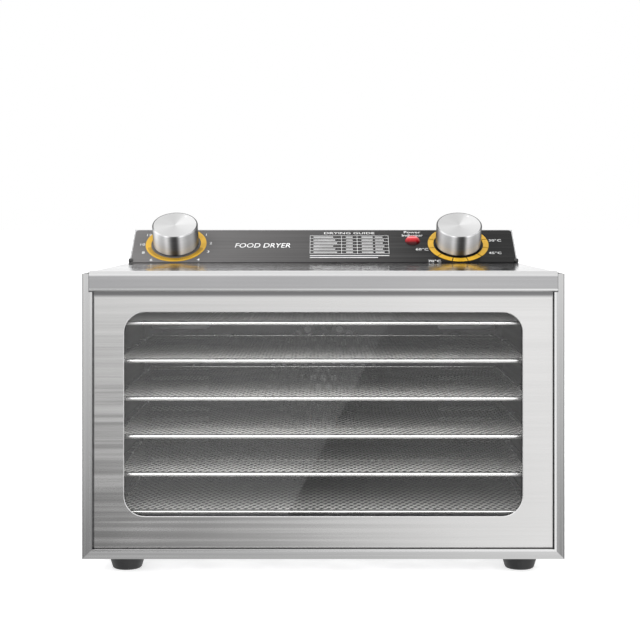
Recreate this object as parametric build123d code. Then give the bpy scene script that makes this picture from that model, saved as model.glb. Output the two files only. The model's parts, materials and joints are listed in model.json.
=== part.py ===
from build123d import *
import math
import os

# A tabletop food dehydrator, in millimetres: +Z up, +Y to the back, and the
# origin on the table at the middle of the footprint. A lift-up glass door slides
# in the front surround, six mesh trays rest on the side racks, and the fan, the
# heater and the controls fill the rear bay.

# Case
case_width = 341.4
case_depth = 330.0
case_height = 202.0
sheet = 1.2                  # thickness of every pressed steel panel

# Feet
foot_height = 11.2
foot_top_radius = 13.6
foot_bottom_radius = 10.2
foot_edge_radius = 2.0
foot_recess_radius = 5.0
foot_inset_side = 29.0
foot_inset_end = 28.0
foot_screw_radius = 2.0
foot_screw_head_radius = 4.2
foot_screw_head_height = 2.4

# Front surround: a channel with a sloped face, a flat lip and a rear jamb
bevel_width = 6.1
bevel_rise = 3.5
surround_width = 7.6
channel_depth = 14.2
jamb_width = 13.7

# Door
door_side_gap = 2.5
door_bottom_gap = 0.4
door_rear_gap = 1.0
door_lip_gap = 2.8           # rear face of the surround's lip to the door
grip_rise = 1.9              # grip above the top cover
grip_height = 14.5
grip_end_inset = 5.2
grip_end_gap = 0.3
grip_top_radius = 3.0
grip_hem_radius = 1.5
window_side_margin = 29.2
window_bottom_margin = 29.7
window_top_margin = 26.9
window_radius = 15.0
glass_thickness = 3.0
glass_overlap = 8.5
gasket_thickness = 0.6
gasket_setback = 2.0
retainer_gap = 1.0
retainer_flange = 8.0
retainer_nut_radius = 3.2
retainer_nut_height = 2.4
retainer_stud_radius = 1.5

# Chamber
floor_height = 10.0
ceiling_drop = 7.8
rear_bay_depth = 62.0
floor_bead_pitch = 12.0
floor_bead_radius = 1.4

# Trays and the racks they rest on
tray_count = 6
lowest_tray_gap = 18.4
highest_tray_gap = 27.2
tray_side_gap = 3.0
tray_rest_gap = 0.3
tray_front_gap = 7.8
tray_rear_gap = 2.0
rim_width = 5.0
rim_height = 3.0
rim_corner_radius = 8.0
mesh_thickness = 0.5
mesh_bite = 2.5              # how far the mesh edge sits inside the rim
ledge_width = 8.0

# Fan, motor and heater, on one axis in the rear bay
fan_radius = 58.0
fan_hub_radius = 12.0
fan_depth = 16.0
fan_gap = 4.8                # baffle to fan hub
blade_count = 8
blade_chord = 28.0
blade_pitch = 34.0
shaft_radius = 2.5
bearing_clearance = 0.05
rotor_radius = 12.0
rotor_length = 12.0
air_gap = 0.4
stator_width = 56.0
stator_length = 13.0
stator_top = 18.0
stator_leg_height = 10.0
coil_window_height = 14.0
coil_width = 26.0
heater_fan_gap = 16.0        # fan rim to the middle of the heater tube
heater_tube_radius = 3.25
heater_gap_angle = 30.0
heater_stand_off = 10.0
heater_seal_radius = 4.5
bracket_half_height = 14.0
bracket_clearance = 7.0
bracket_foot = 10.0

# Control panel
panel_tilt = 33.5
crest_radius = 3.0
fascia_thickness = 0.8
fascia_side_margin = 1.4
fascia_lower_margin = 0.3
fascia_upper_margin = 1.8
fascia_corner_radius = 3.2
knob_radius = 20.2
knob_height = 20.0
knob_gap = 0.8               # knob skirt above the fascia
knob_wall = 2.2
knob_edge = 0.6
knob_hub_radius = 6.0
dial_ring_gap = 1.9          # knob side to the inner edge of its scale ring
dial_ring_width = 4.95
dial_ring_height = 0.3
dial_open_angle = 43.0       # half of the open part at the top of a scale ring
dial_lower_margin = 0.95
dial_upper_margin = 4.2
temperature_steps = 9
step_line_width = 0.8
control_shaft_radius = 3.0
bushing_radius = 4.8
bushing_height = 5.0
panel_hole_clearance = 0.3
nut_radius = 8.0
nut_height = 2.2
timer_inset = 39.2
temperature_inset = 50.7
lamp_offset = 40.4           # lamp axis to the temperature knob's axis
lamp_rise = 5.0              # lamp axis above the knob axes, along the slope
lamp_radius = 6.75
lamp_height = 4.5
lamp_stem_radius = 4.0
lamp_holder_radius = 6.5
lamp_holder_depth = 14.0
switch_body_slope = 36.0
timer_body_width = 40.0
timer_body_depth = 28.0
thermostat_body_width = 36.0
thermostat_body_depth = 22.0

# Back panel
back_recess = 1.8
flange_width = 10.8
back_panel_edge_gap = 0.2
vent_slot_length = 46.0
vent_slot_height = 4.0
vent_slot_pitch = 9.0
vent_rows = 9
inlet_inset = 60.7
inlet_height = 30.0
inlet_flange = (50.0, 24.0)
inlet_body = (28.0, 19.6)
inlet_mouth = (24.0, 16.0)
inlet_flange_thickness = 1.6
inlet_mouth_depth = 16.0
inlet_body_depth = 18.0
inlet_screw_spacing = 40.0
pin_size = (2.0, 4.0)
pin_length = 9.5
pin_spacing = 14.0
screw_head_radius = 3.0
screw_head_height = 1.7
screw_shank_radius = 1.4
screw_hole_radius = 1.6

# Places worked out from the sizes above
half_width = case_width / 2
front_y = -case_depth / 2
back_y = case_depth / 2
base_z = foot_height
top_z = foot_height + case_height
wall_x = half_width - sheet              # inner face of a side panel
liner_x = wall_x - sheet                 # inner face of the flanges against it
base_top = base_z + sheet
cover_bottom = top_z - sheet
jamb_front = front_y + channel_depth - sheet
shell_front = front_y + channel_depth
liner_front = shell_front + sheet

door_half = wall_x - door_side_gap
door_front = front_y + sheet + door_lip_gap
door_back = jamb_front - door_rear_gap
door_bottom = base_top + door_bottom_gap
door_top = top_z + grip_rise
panel_top = door_top - sheet
grip_bottom = door_top - grip_height
grip_half = half_width - grip_end_inset
window_half = half_width - window_side_margin
window_bottom = base_z + window_bottom_margin
window_top = top_z - window_top_margin
window_z = (window_bottom + window_top) / 2
window_height = window_top - window_bottom
gasket_front = door_front + sheet
glass_front = gasket_front + gasket_thickness
glass_back = glass_front + glass_thickness

baffle_front = back_y - rear_bay_depth
baffle_back = baffle_front + sheet
floor_bottom = base_z + floor_height
floor_top = floor_bottom + sheet
ceiling_top = top_z - ceiling_drop
ceiling_bottom = ceiling_top - sheet
rack_x = half_width - jamb_width
ledge_x = rack_x - ledge_width
tray_half = rack_x - tray_side_gap
tray_front = shell_front + tray_front_gap
tray_back = baffle_front - tray_rear_gap
tray_y = (tray_front + tray_back) / 2
tray_depth = tray_back - tray_front
lowest_tray_z = floor_top + lowest_tray_gap
tray_pitch = (ceiling_bottom - highest_tray_gap - lowest_tray_z) / (tray_count - 1)
tray_levels = [lowest_tray_z + tray_pitch * i for i in range(tray_count)]

back_face = back_y - back_recess
back_inner = back_face - sheet
flange_front = back_inner - sheet
fan_z = (base_top + cover_bottom) / 2
fan_front = baffle_back + fan_gap
fan_back = fan_front + fan_depth
bracket_front = fan_back + 9.0
bracket_back = bracket_front + sheet
stator_front = bracket_back + 2.5
stator_back = stator_front + stator_length
rear_bearing_front = stator_back + 2.0
shaft_end = rear_bearing_front + sheet + 2.5
heater_y = baffle_back + heater_stand_off
heater_ring_radius = fan_radius + heater_fan_gap
bracket_x = heater_ring_radius + heater_tube_radius + bracket_clearance

tilt = math.radians(panel_tilt)
ring_inner = knob_radius + dial_ring_gap
ring_outer = ring_inner + dial_ring_width
dial_s = ring_outer + dial_lower_margin
panel_slant = dial_s + ring_outer * math.cos(math.radians(dial_open_angle)) + dial_upper_margin
fold_y = baffle_front - 1.0
crest_y = fold_y + panel_slant * math.cos(tilt)
crest_z = top_z + panel_slant * math.sin(tilt)
timer_x = -half_width + timer_inset
temperature_x = half_width - temperature_inset
lamp_x = temperature_x - lamp_offset
lamp_s = dial_s + lamp_rise
knob_bottom = fascia_thickness + knob_gap
knob_top = knob_bottom + knob_height
knob_hub_bottom = bushing_height + 1.0
inlet_x = half_width - inlet_inset
inlet_z = base_z + inlet_height

# Local x runs along +X, local y up the slope, local z out of the control panel
panel_plane = Plane(
    origin=(0, fold_y, top_z),
    x_dir=(1, 0, 0),
    z_dir=(0, -math.sin(tilt), math.cos(tilt)),
)


def block(x0, x1, y0, y1, z0, z1):
    """A box from its lowest corner to its highest."""
    centre = Pos((x0 + x1) / 2, (y0 + y1) / 2, (z0 + z1) / 2)
    return centre * Box(x1 - x0, y1 - y0, z1 - z0)


def upright(sketch, y0, y1):
    """A sketch in local x = X and local y = Z, thickened from y0 to y1."""
    plane = Plane(origin=(0, y1, 0), x_dir=(1, 0, 0), z_dir=(0, -1, 0))
    return extrude(plane * sketch, y1 - y0, dir=(0, -1, 0))


def rod_y(x, z, radius, y0, y1):
    """A round rod along Y."""
    return upright(Pos(x, z) * Circle(radius), y0, y1)


def section_x(points, x0, x1):
    """A YZ outline carried along X from x0 to x1."""
    plane = Plane(origin=(x0, 0, 0), x_dir=(0, 1, 0), z_dir=(1, 0, 0))
    return extrude(plane * Polygon(*points, align=None), x1 - x0, dir=(1, 0, 0))


def window_frame(grow):
    """The window's outline, grown on every side."""
    width = 2 * (window_half + grow)
    height = window_height + 2 * grow
    return Pos(0, window_z) * RectangleRounded(width, height, window_radius + grow)


def square_frame(grow, radius):
    """The glass outline, grown on every side, with its own corner radius."""
    width = 2 * (window_half + glass_overlap + grow)
    height = window_height + 2 * (glass_overlap + grow)
    return Pos(0, window_z) * RectangleRounded(width, height, radius)


def on_panel(x, s, shape):
    """A shape stood on the control panel at x across and s up the slope."""
    return panel_plane * (Pos(x, s, 0) * shape)


def drum(radius, h0, h1):
    """A cylinder about local z from h0 to h1."""
    return Pos(0, 0, h0) * Cylinder(radius, h1 - h0, align=(Align.CENTER, Align.CENTER, Align.MIN))


def mirrored(shape):
    """The same shape on the other side of the centre plane."""
    return mirror(shape, about=Plane.YZ)


# Case


def surround_profile():
    """The surround's section: distance in from the outer edge, then distance back."""
    slope = math.hypot(bevel_width, bevel_rise)
    inner = bevel_width * bevel_rise + sheet * slope
    return [
        (0, channel_depth),
        (0, bevel_rise),
        (bevel_width, 0),
        (surround_width, 0),
        (surround_width, sheet),
        ((inner - bevel_width * sheet) / bevel_rise, sheet),
        (sheet, (inner - bevel_rise * sheet) / bevel_width),
        (sheet, channel_depth - sheet),
        (jamb_width, channel_depth - sheet),
        (jamb_width, channel_depth),
    ]


def front_post_left():
    points = [(-half_width + u, front_y + w) for u, w in surround_profile()]
    post = extrude(Pos(0, 0, base_z) * Polygon(*points, align=None), case_height, dir=(0, 0, 1))
    mitre = Polygon(
        (-half_width, base_z),
        (-half_width + jamb_width, base_z),
        (-half_width + jamb_width, base_z + jamb_width),
        align=None,
    )
    post -= upright(mitre, front_y - 1, shell_front + 1)
    notch_x = -grip_half - grip_end_gap
    notch_back = front_y + bevel_rise + sheet
    post -= block(notch_x, -rack_x, front_y - 1, notch_back, grip_bottom - grip_end_gap, top_z + 1)
    return post


def front_post_right():
    return mirrored(front_post_left())


def front_sill():
    points = [(front_y + w, base_z + u) for u, w in surround_profile()]
    sill = section_x(points, -half_width, half_width)
    corner = Polygon(
        (-half_width, base_z),
        (-half_width, base_z + jamb_width),
        (-half_width + jamb_width, base_z + jamb_width),
        align=None,
    )
    mitre = upright(corner, front_y - 1, shell_front + 1)
    return sill - mitre - mirrored(mitre)


def side_screw_levels():
    """Heights of the screws down each side of the back panel."""
    low = base_z + 28
    high = top_z - 10
    return [low + (high - low) * i / 3 for i in range(4)]


def side_panel_left():
    wall = block(-half_width, -wall_x, shell_front, back_y, base_z, cover_bottom)
    flange_bottom = base_top + flange_width + 2
    flange = block(-wall_x, -wall_x + flange_width, flange_front, back_inner, flange_bottom, cover_bottom)
    panel = wall + flange
    for z in side_screw_levels():
        panel -= rod_y(-back_screw_x(), z, screw_hole_radius, flange_front - 1, back_inner + 1)
    return panel


def side_panel_right():
    return mirrored(side_panel_left())


def back_screw_x():
    return wall_x - flange_width / 2


def base_pan():
    pan = block(-wall_x, wall_x, shell_front, back_y, base_z, base_top)
    flange_top = base_top + flange_width
    side = block(-wall_x, -liner_x, liner_front, flange_front, base_top, flange_top)
    pan += side + mirrored(side)
    pan += block(-wall_x, wall_x, shell_front, liner_front, base_top, floor_bottom)
    rear_x = wall_x - flange_width - 1
    pan += block(-rear_x, rear_x, flange_front, back_inner, base_top, flange_top)
    for x, y in foot_places():
        pan -= Pos(x, y, base_z) * Cylinder(foot_screw_radius, 4 * sheet)
    for x, z in bottom_screws():
        pan -= rod_y(x, z, screw_hole_radius, flange_front - 1, back_inner + 1)
    return pan


def top_cover():
    cover = block(-half_width, half_width, shell_front, baffle_back, cover_bottom, top_z)
    cover += block(-wall_x, wall_x, shell_front, liner_front, ceiling_bottom, cover_bottom)
    side = block(-wall_x, -liner_x, liner_front, baffle_front, ceiling_bottom, cover_bottom)
    return cover + side + mirrored(side)


def chamber_ceiling():
    plate = block(-liner_x, liner_x, liner_front, baffle_front, ceiling_bottom, ceiling_top)
    side = block(-liner_x, -liner_x + sheet, liner_front, baffle_front, ceiling_top, cover_bottom)
    return plate + side + mirrored(side)


def chamber_floor():
    plate = block(-liner_x, liner_x, liner_front, baffle_front, floor_bottom, floor_top)
    side = block(-liner_x, -liner_x + sheet, liner_front, baffle_front, base_top, floor_bottom)
    plate += side + mirrored(side)
    bead_length = tray_depth - 2 * rear_bay_depth
    bead = Rot(X=-90) * Cylinder(floor_bead_radius, bead_length)
    for i in range(-3, 4):
        plate += Pos(i * floor_bead_pitch, tray_y, floor_top) * bead
    return plate


def rack_left():
    plate = block(-rack_x - sheet, -rack_x, liner_front, baffle_front, floor_top, ceiling_bottom)
    for z in tray_levels:
        top = z - rim_height / 2 - tray_rest_gap
        plate += block(-rack_x, -ledge_x, liner_front, tray_back, top - sheet, top)
    return plate


def rack_right():
    return mirrored(rack_left())


def fan_baffle():
    plate = Pos(0, fan_z) * Rectangle(2 * liner_x, cover_bottom - base_top)
    holes = [Circle(3.0)]
    for ring in range(1, 6):
        count = 6 * ring
        for i in range(count):
            angle = math.tau * i / count
            holes.append(Pos(9 * ring * math.cos(angle), 9 * ring * math.sin(angle)) * Circle(3.0))
    plate -= [Pos(0, fan_z) * hole for hole in holes]
    slot_x = (bracket_x + bracket_foot + rack_x) / 2
    for row in range(-6, 7):
        slot = SlotOverall(rack_x - bracket_x - bracket_foot - 12, vent_slot_height)
        plate -= [Pos(side * slot_x, fan_z + row * vent_slot_pitch) * slot for side in (-1, 1)]
    return upright(plate, baffle_front, baffle_back)


# Back


def bottom_screws():
    z = base_top + flange_width / 2
    return [(-case_width / 4, z), (case_width / 12, z)]


def top_screws():
    z = crest_z - sheet - flange_width / 2
    return [(-case_width / 4, z), (case_width / 4, z)]


def back_screws():
    """Every screw of the back panel, as x and z."""
    sides = [(side * back_screw_x(), z) for side in (-1, 1) for z in side_screw_levels()]
    return sides + bottom_screws() + top_screws()


def back_panel():
    low = base_top + back_panel_edge_gap
    high = crest_z - sheet - back_panel_edge_gap
    plate = Pos(0, (low + high) / 2) * Rectangle(2 * (wall_x - back_panel_edge_gap), high - low)
    plate -= [Pos(x, z) * Circle(screw_hole_radius) for x, z in back_screws()]
    plate -= Pos(inlet_x, inlet_z) * Rectangle(*inlet_body)
    slot = SlotOverall(vent_slot_length, vent_slot_height)
    for row in range(vent_rows):
        z = fan_z + (row - (vent_rows - 1) / 2) * vent_slot_pitch
        plate -= [Pos(side * vent_slot_length * 0.6, z) * slot for side in (-1, 1)]
    return upright(plate, back_inner, back_face)


def case_screws():
    screws = []
    for x, z in back_screws():
        shank = rod_y(x, z, screw_shank_radius, flange_front - 2, back_face)
        head = rod_y(x, z, screw_head_radius, back_face, back_face + screw_head_height)
        screws.append(fillet(head.edges().sort_by(Axis.Y)[-1], 0.8) + shank)
    for side in (-1, 1):
        x = inlet_x + side * inlet_screw_spacing / 2
        screws.append(rod_y(x, inlet_z, screw_head_radius, back_face, back_face + inlet_flange_thickness))
    return Compound(screws)


def power_inlet():
    face = back_face + inlet_flange_thickness
    inlet = upright(Pos(inlet_x, inlet_z) * RectangleRounded(*inlet_flange, 4), back_face, face)
    width, height = inlet_body
    body = Rectangle(width - 0.4, height - 0.4)
    inlet += upright(Pos(inlet_x, inlet_z) * body, face - inlet_body_depth, back_face)
    mouth = Rectangle(*inlet_mouth)
    mouth = chamfer(mouth.vertices().group_by(Axis.Y)[-1], 4)
    inlet -= upright(Pos(inlet_x, inlet_z) * mouth, face - inlet_mouth_depth, face + 1)
    for side in (-1, 1):
        x = inlet_x + side * inlet_screw_spacing / 2
        inlet -= rod_y(x, inlet_z, screw_head_radius, back_face - 1, face + 1)
    for x, z in inlet_pin_places():
        inlet -= pin_blade(x, z)
    return inlet


def inlet_pin_places():
    """Two outer pins and a raised middle one."""
    outer = pin_spacing / 2
    return [(inlet_x - outer, inlet_z - 2), (inlet_x, inlet_z + 2), (inlet_x + outer, inlet_z - 2)]


def pin_blade(x, z):
    width, height = pin_size
    floor_y = back_face + inlet_flange_thickness - inlet_mouth_depth
    return block(
        x - width / 2, x + width / 2, floor_y - 7, floor_y + pin_length, z - height / 2, z + height / 2
    )


def inlet_pins():
    return Compound([pin_blade(x, z) for x, z in inlet_pin_places()])


def terminal_block():
    x = inlet_x - inlet_flange[0]
    body = block(x - 18, x + 18, bracket_front, bracket_front + 16, base_top, base_top + 14)
    for i in range(-2, 3):
        slot_x = x + 7 * i
        body -= block(slot_x - 2.5, slot_x + 2.5, bracket_front - 1, bracket_front + 17, base_top + 8, base_top + 15)
    return body


# Feet


def foot_places():
    x = half_width - foot_inset_side
    y = back_y - foot_inset_end
    return [(sx * x, sy * y) for sx in (-1, 1) for sy in (-1, 1)]


def rubber_feet():
    head_z = foot_height / 2
    foot = loft(
        [Circle(foot_bottom_radius), Pos(0, 0, foot_height) * Circle(foot_top_radius)]
    )
    foot = fillet(foot.edges().sort_by(Axis.Z)[0], foot_edge_radius)
    foot -= drum(foot_recess_radius, -1, head_z)
    foot -= drum(foot_screw_radius, 0, foot_height + 1)
    return Compound([Pos(x, y, 0) * foot for x, y in foot_places()])


def foot_screws():
    head_z = foot_height / 2
    screw = drum(foot_screw_head_radius, head_z - foot_screw_head_height, head_z)
    screw += drum(foot_screw_radius, head_z, base_top + 3)
    return Compound([Pos(x, y, 0) * screw for x, y in foot_places()])


# Fan, motor and heater


def fan_impeller():
    hub = rod_y(0, fan_z, fan_hub_radius, fan_front, fan_back)
    middle = (fan_front + fan_back) / 2
    reach = fan_radius - fan_hub_radius + 4
    blade = Pos(fan_hub_radius - 4 + reach / 2, 0, 0) * (
        Rot(X=blade_pitch) * Box(reach, sheet, blade_chord * 0.9)
    )
    wheel = hub
    for i in range(blade_count):
        wheel += Pos(0, middle, fan_z) * (Rot(Y=360 * i / blade_count) * blade)
    rim_limit = rod_y(0, fan_z, fan_radius, fan_front - fan_depth, fan_back + fan_depth)
    return (wheel & rim_limit) - rod_y(0, fan_z, shaft_radius, fan_front - 1, fan_back + 1)


def motor_shaft():
    return rod_y(0, fan_z, shaft_radius, fan_front - 2, shaft_end)


def motor_rotor():
    start = stator_front + (stator_length - rotor_length) / 2
    rotor = rod_y(0, fan_z, rotor_radius, start, start + rotor_length)
    return rotor - rod_y(0, fan_z, shaft_radius, start - 1, start + rotor_length + 1)


def motor_stator():
    half = stator_width / 2
    window_z_low = fan_z - stator_top - coil_window_height
    frame = block(
        -half, half, stator_front, stator_back, window_z_low - stator_leg_height, fan_z + stator_top
    )
    frame -= block(
        -coil_width / 2 - 3, coil_width / 2 + 3, stator_front - 1, stator_back + 1,
        window_z_low, fan_z - stator_top,
    )
    return frame - rod_y(0, fan_z, rotor_radius + air_gap, stator_front - 1, stator_back + 1)


def motor_coil():
    half = coil_width / 2
    leg_top = fan_z - stator_top - coil_window_height
    leg_bottom = leg_top - stator_leg_height
    coil = block(
        -half, half, stator_front - 4, stator_back + 4, leg_bottom - 5, leg_top + coil_window_height - 2
    )
    coil = fillet(coil.edges().filter_by(Axis.X), 2)
    return coil - block(-half - 1, half + 1, stator_front, stator_back, leg_bottom, leg_top)


def motor_bracket():
    """The strap that carries the motor over the fan, and the rear bearing strap."""
    low, high = fan_z - bracket_half_height, fan_z + bracket_half_height
    strap = block(-bracket_x - sheet, bracket_x + sheet, bracket_front, bracket_back, low, high)
    leg = block(-bracket_x - sheet, -bracket_x, baffle_back, bracket_front, low, high)
    foot_x = -bracket_x - sheet
    leg += block(foot_x - bracket_foot, foot_x, baffle_back, baffle_back + sheet, low, high)
    strap += leg + mirrored(leg)
    post_x = stator_width / 2 - 5
    for x in (-post_x, post_x):
        strap += rod_y(x, fan_z, 3, bracket_back, stator_front)
    rear = block(-post_x - 3, post_x + 3, rear_bearing_front, rear_bearing_front + sheet, fan_z - 8, fan_z + 8)
    for x in (-post_x, post_x):
        rear += rod_y(x, fan_z, 3, stator_back, rear_bearing_front)
    bore = rod_y(0, fan_z, shaft_radius + bearing_clearance, bracket_front - 1, shaft_end + 1)
    return Compound([strap - bore, rear - bore])


def heater_ring():
    """The bare tube of the heater: a round section turned about the fan's axis."""
    section = Plane(origin=(0, heater_y, fan_z), x_dir=(1, 0, 0), z_dir=(0, 0, 1)) * (
        Pos(heater_ring_radius, 0) * Circle(heater_tube_radius)
    )
    ring = revolve(section, Axis((0, heater_y, fan_z), (0, 1, 0)), 360 - 2 * heater_gap_angle)
    return ring.rotate(Axis((0, heater_y, fan_z), (0, 1, 0)), 90 + heater_gap_angle)


def heater_element():
    element = heater_ring()
    for side in (-1, 1):
        angle = math.radians(-90 + side * heater_gap_angle)
        x = heater_ring_radius * math.cos(angle)
        z = fan_z + heater_ring_radius * math.sin(angle)
        element += rod_y(x, z, heater_seal_radius, heater_y - 5, heater_y + 14)
    return element


def heater_clips():
    clips = []
    whole_ring = Pos(0, heater_y, fan_z) * (Rot(X=90) * Torus(heater_ring_radius, heater_tube_radius))
    for angle in (90, 205, 335):
        radial = Pos(heater_ring_radius, 0, 0) * Box(12, heater_stand_off + 5, 6)
        clip = Pos(0, baffle_back + (heater_stand_off + 5) / 2, fan_z) * (Rot(Y=-angle) * radial)
        clips.append(clip - whole_ring)
    return Compound(clips)


def thermal_cutout():
    x = -heater_ring_radius - 24
    z = fan_z + heater_ring_radius / 2
    cutout = rod_y(x, z, 8, baffle_back, baffle_back + 7)
    for side in (-1, 1):
        tab_x = x + side * 4
        cutout += block(tab_x - 1.5, tab_x + 1.5, baffle_back + 7, baffle_back + 14, z - 0.4, z + 0.4)
    return cutout


# Control panel


def control_housing():
    """The folded hood over the rear bay, open below and behind."""
    outer = [
        (fold_y, top_z),
        (crest_y, crest_z),
        (back_y, crest_z),
        (back_y, cover_bottom),
        (baffle_back, cover_bottom),
        (baffle_back, top_z),
    ]
    inner_fold = fold_y + sheet / math.sin(tilt)
    inner_crest = inner_fold + (crest_z - sheet - top_z) / math.tan(tilt)
    below = (top_z - cover_bottom) * 2
    inner = [
        (inner_fold - below / math.tan(tilt), top_z - below),
        (inner_crest, crest_z - sheet),
        (back_y + 1, crest_z - sheet),
        (back_y + 1, top_z - below),
    ]
    hood = section_x(outer, -half_width, half_width)
    crest = hood.edges().filter_by(Axis.X).sort_by(
        lambda edge: abs(edge.center().Y - crest_y) + abs(edge.center().Z - crest_z)
    )[0]
    hood = fillet(crest, crest_radius)
    hood -= section_x(inner, -wall_x, wall_x)
    high = crest_z - sheet
    rear_x = wall_x - flange_width
    hood += block(-rear_x, rear_x, flange_front, back_inner, high - flange_width, high)
    for x in (timer_x, temperature_x):
        hood -= on_panel(x, dial_s, drum(bushing_radius + panel_hole_clearance, -2 * sheet, sheet))
    hood -= on_panel(lamp_x, lamp_s, drum(lamp_stem_radius + panel_hole_clearance, -2 * sheet, sheet))
    for x, z in top_screws():
        hood -= rod_y(x, z, screw_hole_radius, flange_front - 1, back_inner + 1)
    return hood


def control_fascia():
    width = 2 * (half_width - fascia_side_margin)
    height = panel_slant - fascia_lower_margin - fascia_upper_margin
    middle = fascia_lower_margin + height / 2
    plate = Rectangle(width, height)
    plate = fillet(plate.vertices().group_by(Axis.Y)[-1], fascia_corner_radius)
    plate = Pos(0, middle) * plate
    for x in (timer_x, temperature_x):
        plate -= Pos(x, dial_s) * Circle(bushing_radius + panel_hole_clearance)
    plate -= Pos(lamp_x, lamp_s) * Circle(lamp_stem_radius + panel_hole_clearance)
    return panel_plane * extrude(plate, fascia_thickness, dir=(0, 0, 1))


def fascia_end_clips():
    x = half_width - fascia_side_margin
    clip = Pos(x, fascia_lower_margin + 2, 1) * Box(3.6, 3.4, 2)
    clip = fillet(clip.edges().filter_by(Axis.Z), 0.8)
    clip = panel_plane * clip - control_fascia()
    return Compound([clip, mirrored(clip)])


def scale_ring():
    """A flat ring with its top cut open, to lie on the fascia about local z."""
    ring = drum(ring_outer, fascia_thickness, fascia_thickness + dial_ring_height)
    ring -= drum(ring_inner, 0, 2)
    reach = 2 * ring_outer
    spread = reach * math.tan(math.radians(dial_open_angle))
    opening = Polygon((0, 0), (spread, reach), (-spread, reach), align=None)
    return ring - extrude(opening, 2, dir=(0, 0, 1))


def timer_scale_ring():
    return on_panel(timer_x, dial_s, scale_ring())


def temperature_scale_ring():
    """The ring cut into equal steps by narrow radial lines."""
    ring = scale_ring()
    sweep = 360 - 2 * dial_open_angle
    for i in range(1, temperature_steps):
        angle = 90 + dial_open_angle + sweep * i / temperature_steps
        line = Rot(Z=angle) * (Pos(ring_outer, 0, 1) * Box(ring_outer, step_line_width, 2))
        ring -= line
    return on_panel(temperature_x, dial_s, ring)


def switch_body(x, width, depth):
    """A control's body under the panel, with its threaded bushing and shaft hole."""
    body = Pos(0, 0, -sheet - depth / 2) * Box(width, switch_body_slope, depth)
    body = fillet(body.edges().filter_by(Axis.Z), 3)
    body += drum(bushing_radius, -sheet, bushing_height)
    for i in (-1, 1):
        body += Pos(i * width / 4, 0, -sheet - depth - 2) * Box(6, 0.8, 4)
    body -= drum(control_shaft_radius + bearing_clearance, -sheet - 7, bushing_height + 1)
    return on_panel(x, dial_s, body)


def timer_body():
    return switch_body(timer_x, timer_body_width, timer_body_depth)


def thermostat_body():
    return switch_body(temperature_x, thermostat_body_width, thermostat_body_depth)


def control_nuts():
    nut = extrude(RegularPolygon(nut_radius, 6), nut_height) - drum(bushing_radius, -1, nut_height + 1)
    nut = Pos(0, 0, fascia_thickness) * nut
    return Compound([on_panel(x, dial_s, nut) for x in (timer_x, temperature_x)])


def control_shaft(x):
    return on_panel(x, dial_s, drum(control_shaft_radius, -sheet - 6, knob_top - knob_wall))


def knob(x):
    """A hollow turned knob with a central hub on the shaft."""
    body = drum(knob_radius, knob_bottom, knob_top)
    body = chamfer(body.edges().filter_by(GeomType.CIRCLE).sort_by(Axis.Z)[-1], knob_edge)
    body -= drum(knob_radius - knob_wall, knob_bottom - 1, knob_top - knob_wall)
    body += drum(knob_hub_radius, knob_hub_bottom, knob_top - knob_wall)
    body -= drum(control_shaft_radius, knob_bottom - 1, knob_top - knob_wall)
    return on_panel(x, dial_s, body)


def timer_knob():
    return knob(timer_x)


def timer_shaft():
    return control_shaft(timer_x)


def temperature_knob():
    return knob(temperature_x)


def temperature_shaft():
    return control_shaft(temperature_x)


def indicator_lens():
    cap_radius = (lamp_radius ** 2 + lamp_height ** 2) / (2 * lamp_height)
    ball = Pos(0, 0, fascia_thickness + lamp_height - cap_radius) * Sphere(cap_radius)
    lens = ball & drum(lamp_radius, fascia_thickness, fascia_thickness + lamp_height + 1)
    lens += drum(lamp_stem_radius, -sheet - 3, fascia_thickness + 0.5)
    return on_panel(lamp_x, lamp_s, lens)


def indicator_holder():
    holder = drum(lamp_holder_radius, -sheet - lamp_holder_depth, -sheet)
    holder -= drum(lamp_stem_radius, -sheet - 3, 0)
    return on_panel(lamp_x, lamp_s, holder)


# Door


def door_panel():
    """A shallow pan: the front sheet and its four edges turned back."""
    middle = (door_bottom + panel_top) / 2
    height = panel_top - door_bottom
    outline = Pos(0, middle) * Rectangle(2 * door_half, height)
    inside = Pos(0, middle) * Rectangle(2 * (door_half - sheet), height - 2 * sheet)
    panel = upright(outline - inside, door_front, door_back)
    panel += upright(inside - window_frame(0), door_front, gasket_front)
    return panel


def door_grip():
    """A folded strip along the top edge, held proud of the door to lift it by."""
    outer = Plane.YZ * Polygon(
        (front_y, grip_bottom), (front_y, door_top), (door_back, door_top), (door_back, panel_top),
        (door_front, panel_top), (door_front, grip_bottom), align=None,
    )
    bar = extrude(outer, grip_half, both=True)
    front_edges = bar.edges().filter_by(Axis.X).group_by(Axis.Y)[0].sort_by(Axis.Z)
    bar = fillet(front_edges[-1], grip_top_radius)
    front_edges = bar.edges().filter_by(Axis.X).group_by(Axis.Y)[0].sort_by(Axis.Z)
    bar = fillet(front_edges[0], grip_hem_radius)
    hollow_top = door_top - grip_top_radius
    bar -= block(
        -grip_half - 1, grip_half + 1, front_y + sheet, door_front + 1, grip_bottom + sheet, hollow_top
    )
    bar += block(-grip_half, grip_half, door_front, door_front + sheet, panel_top, door_top)
    return bar


def door_glass():
    return upright(square_frame(0, 5), glass_front, glass_back)


def glass_gasket():
    ring = square_frame(0, 5) - window_frame(gasket_setback)
    return upright(ring, gasket_front, glass_front)


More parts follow.
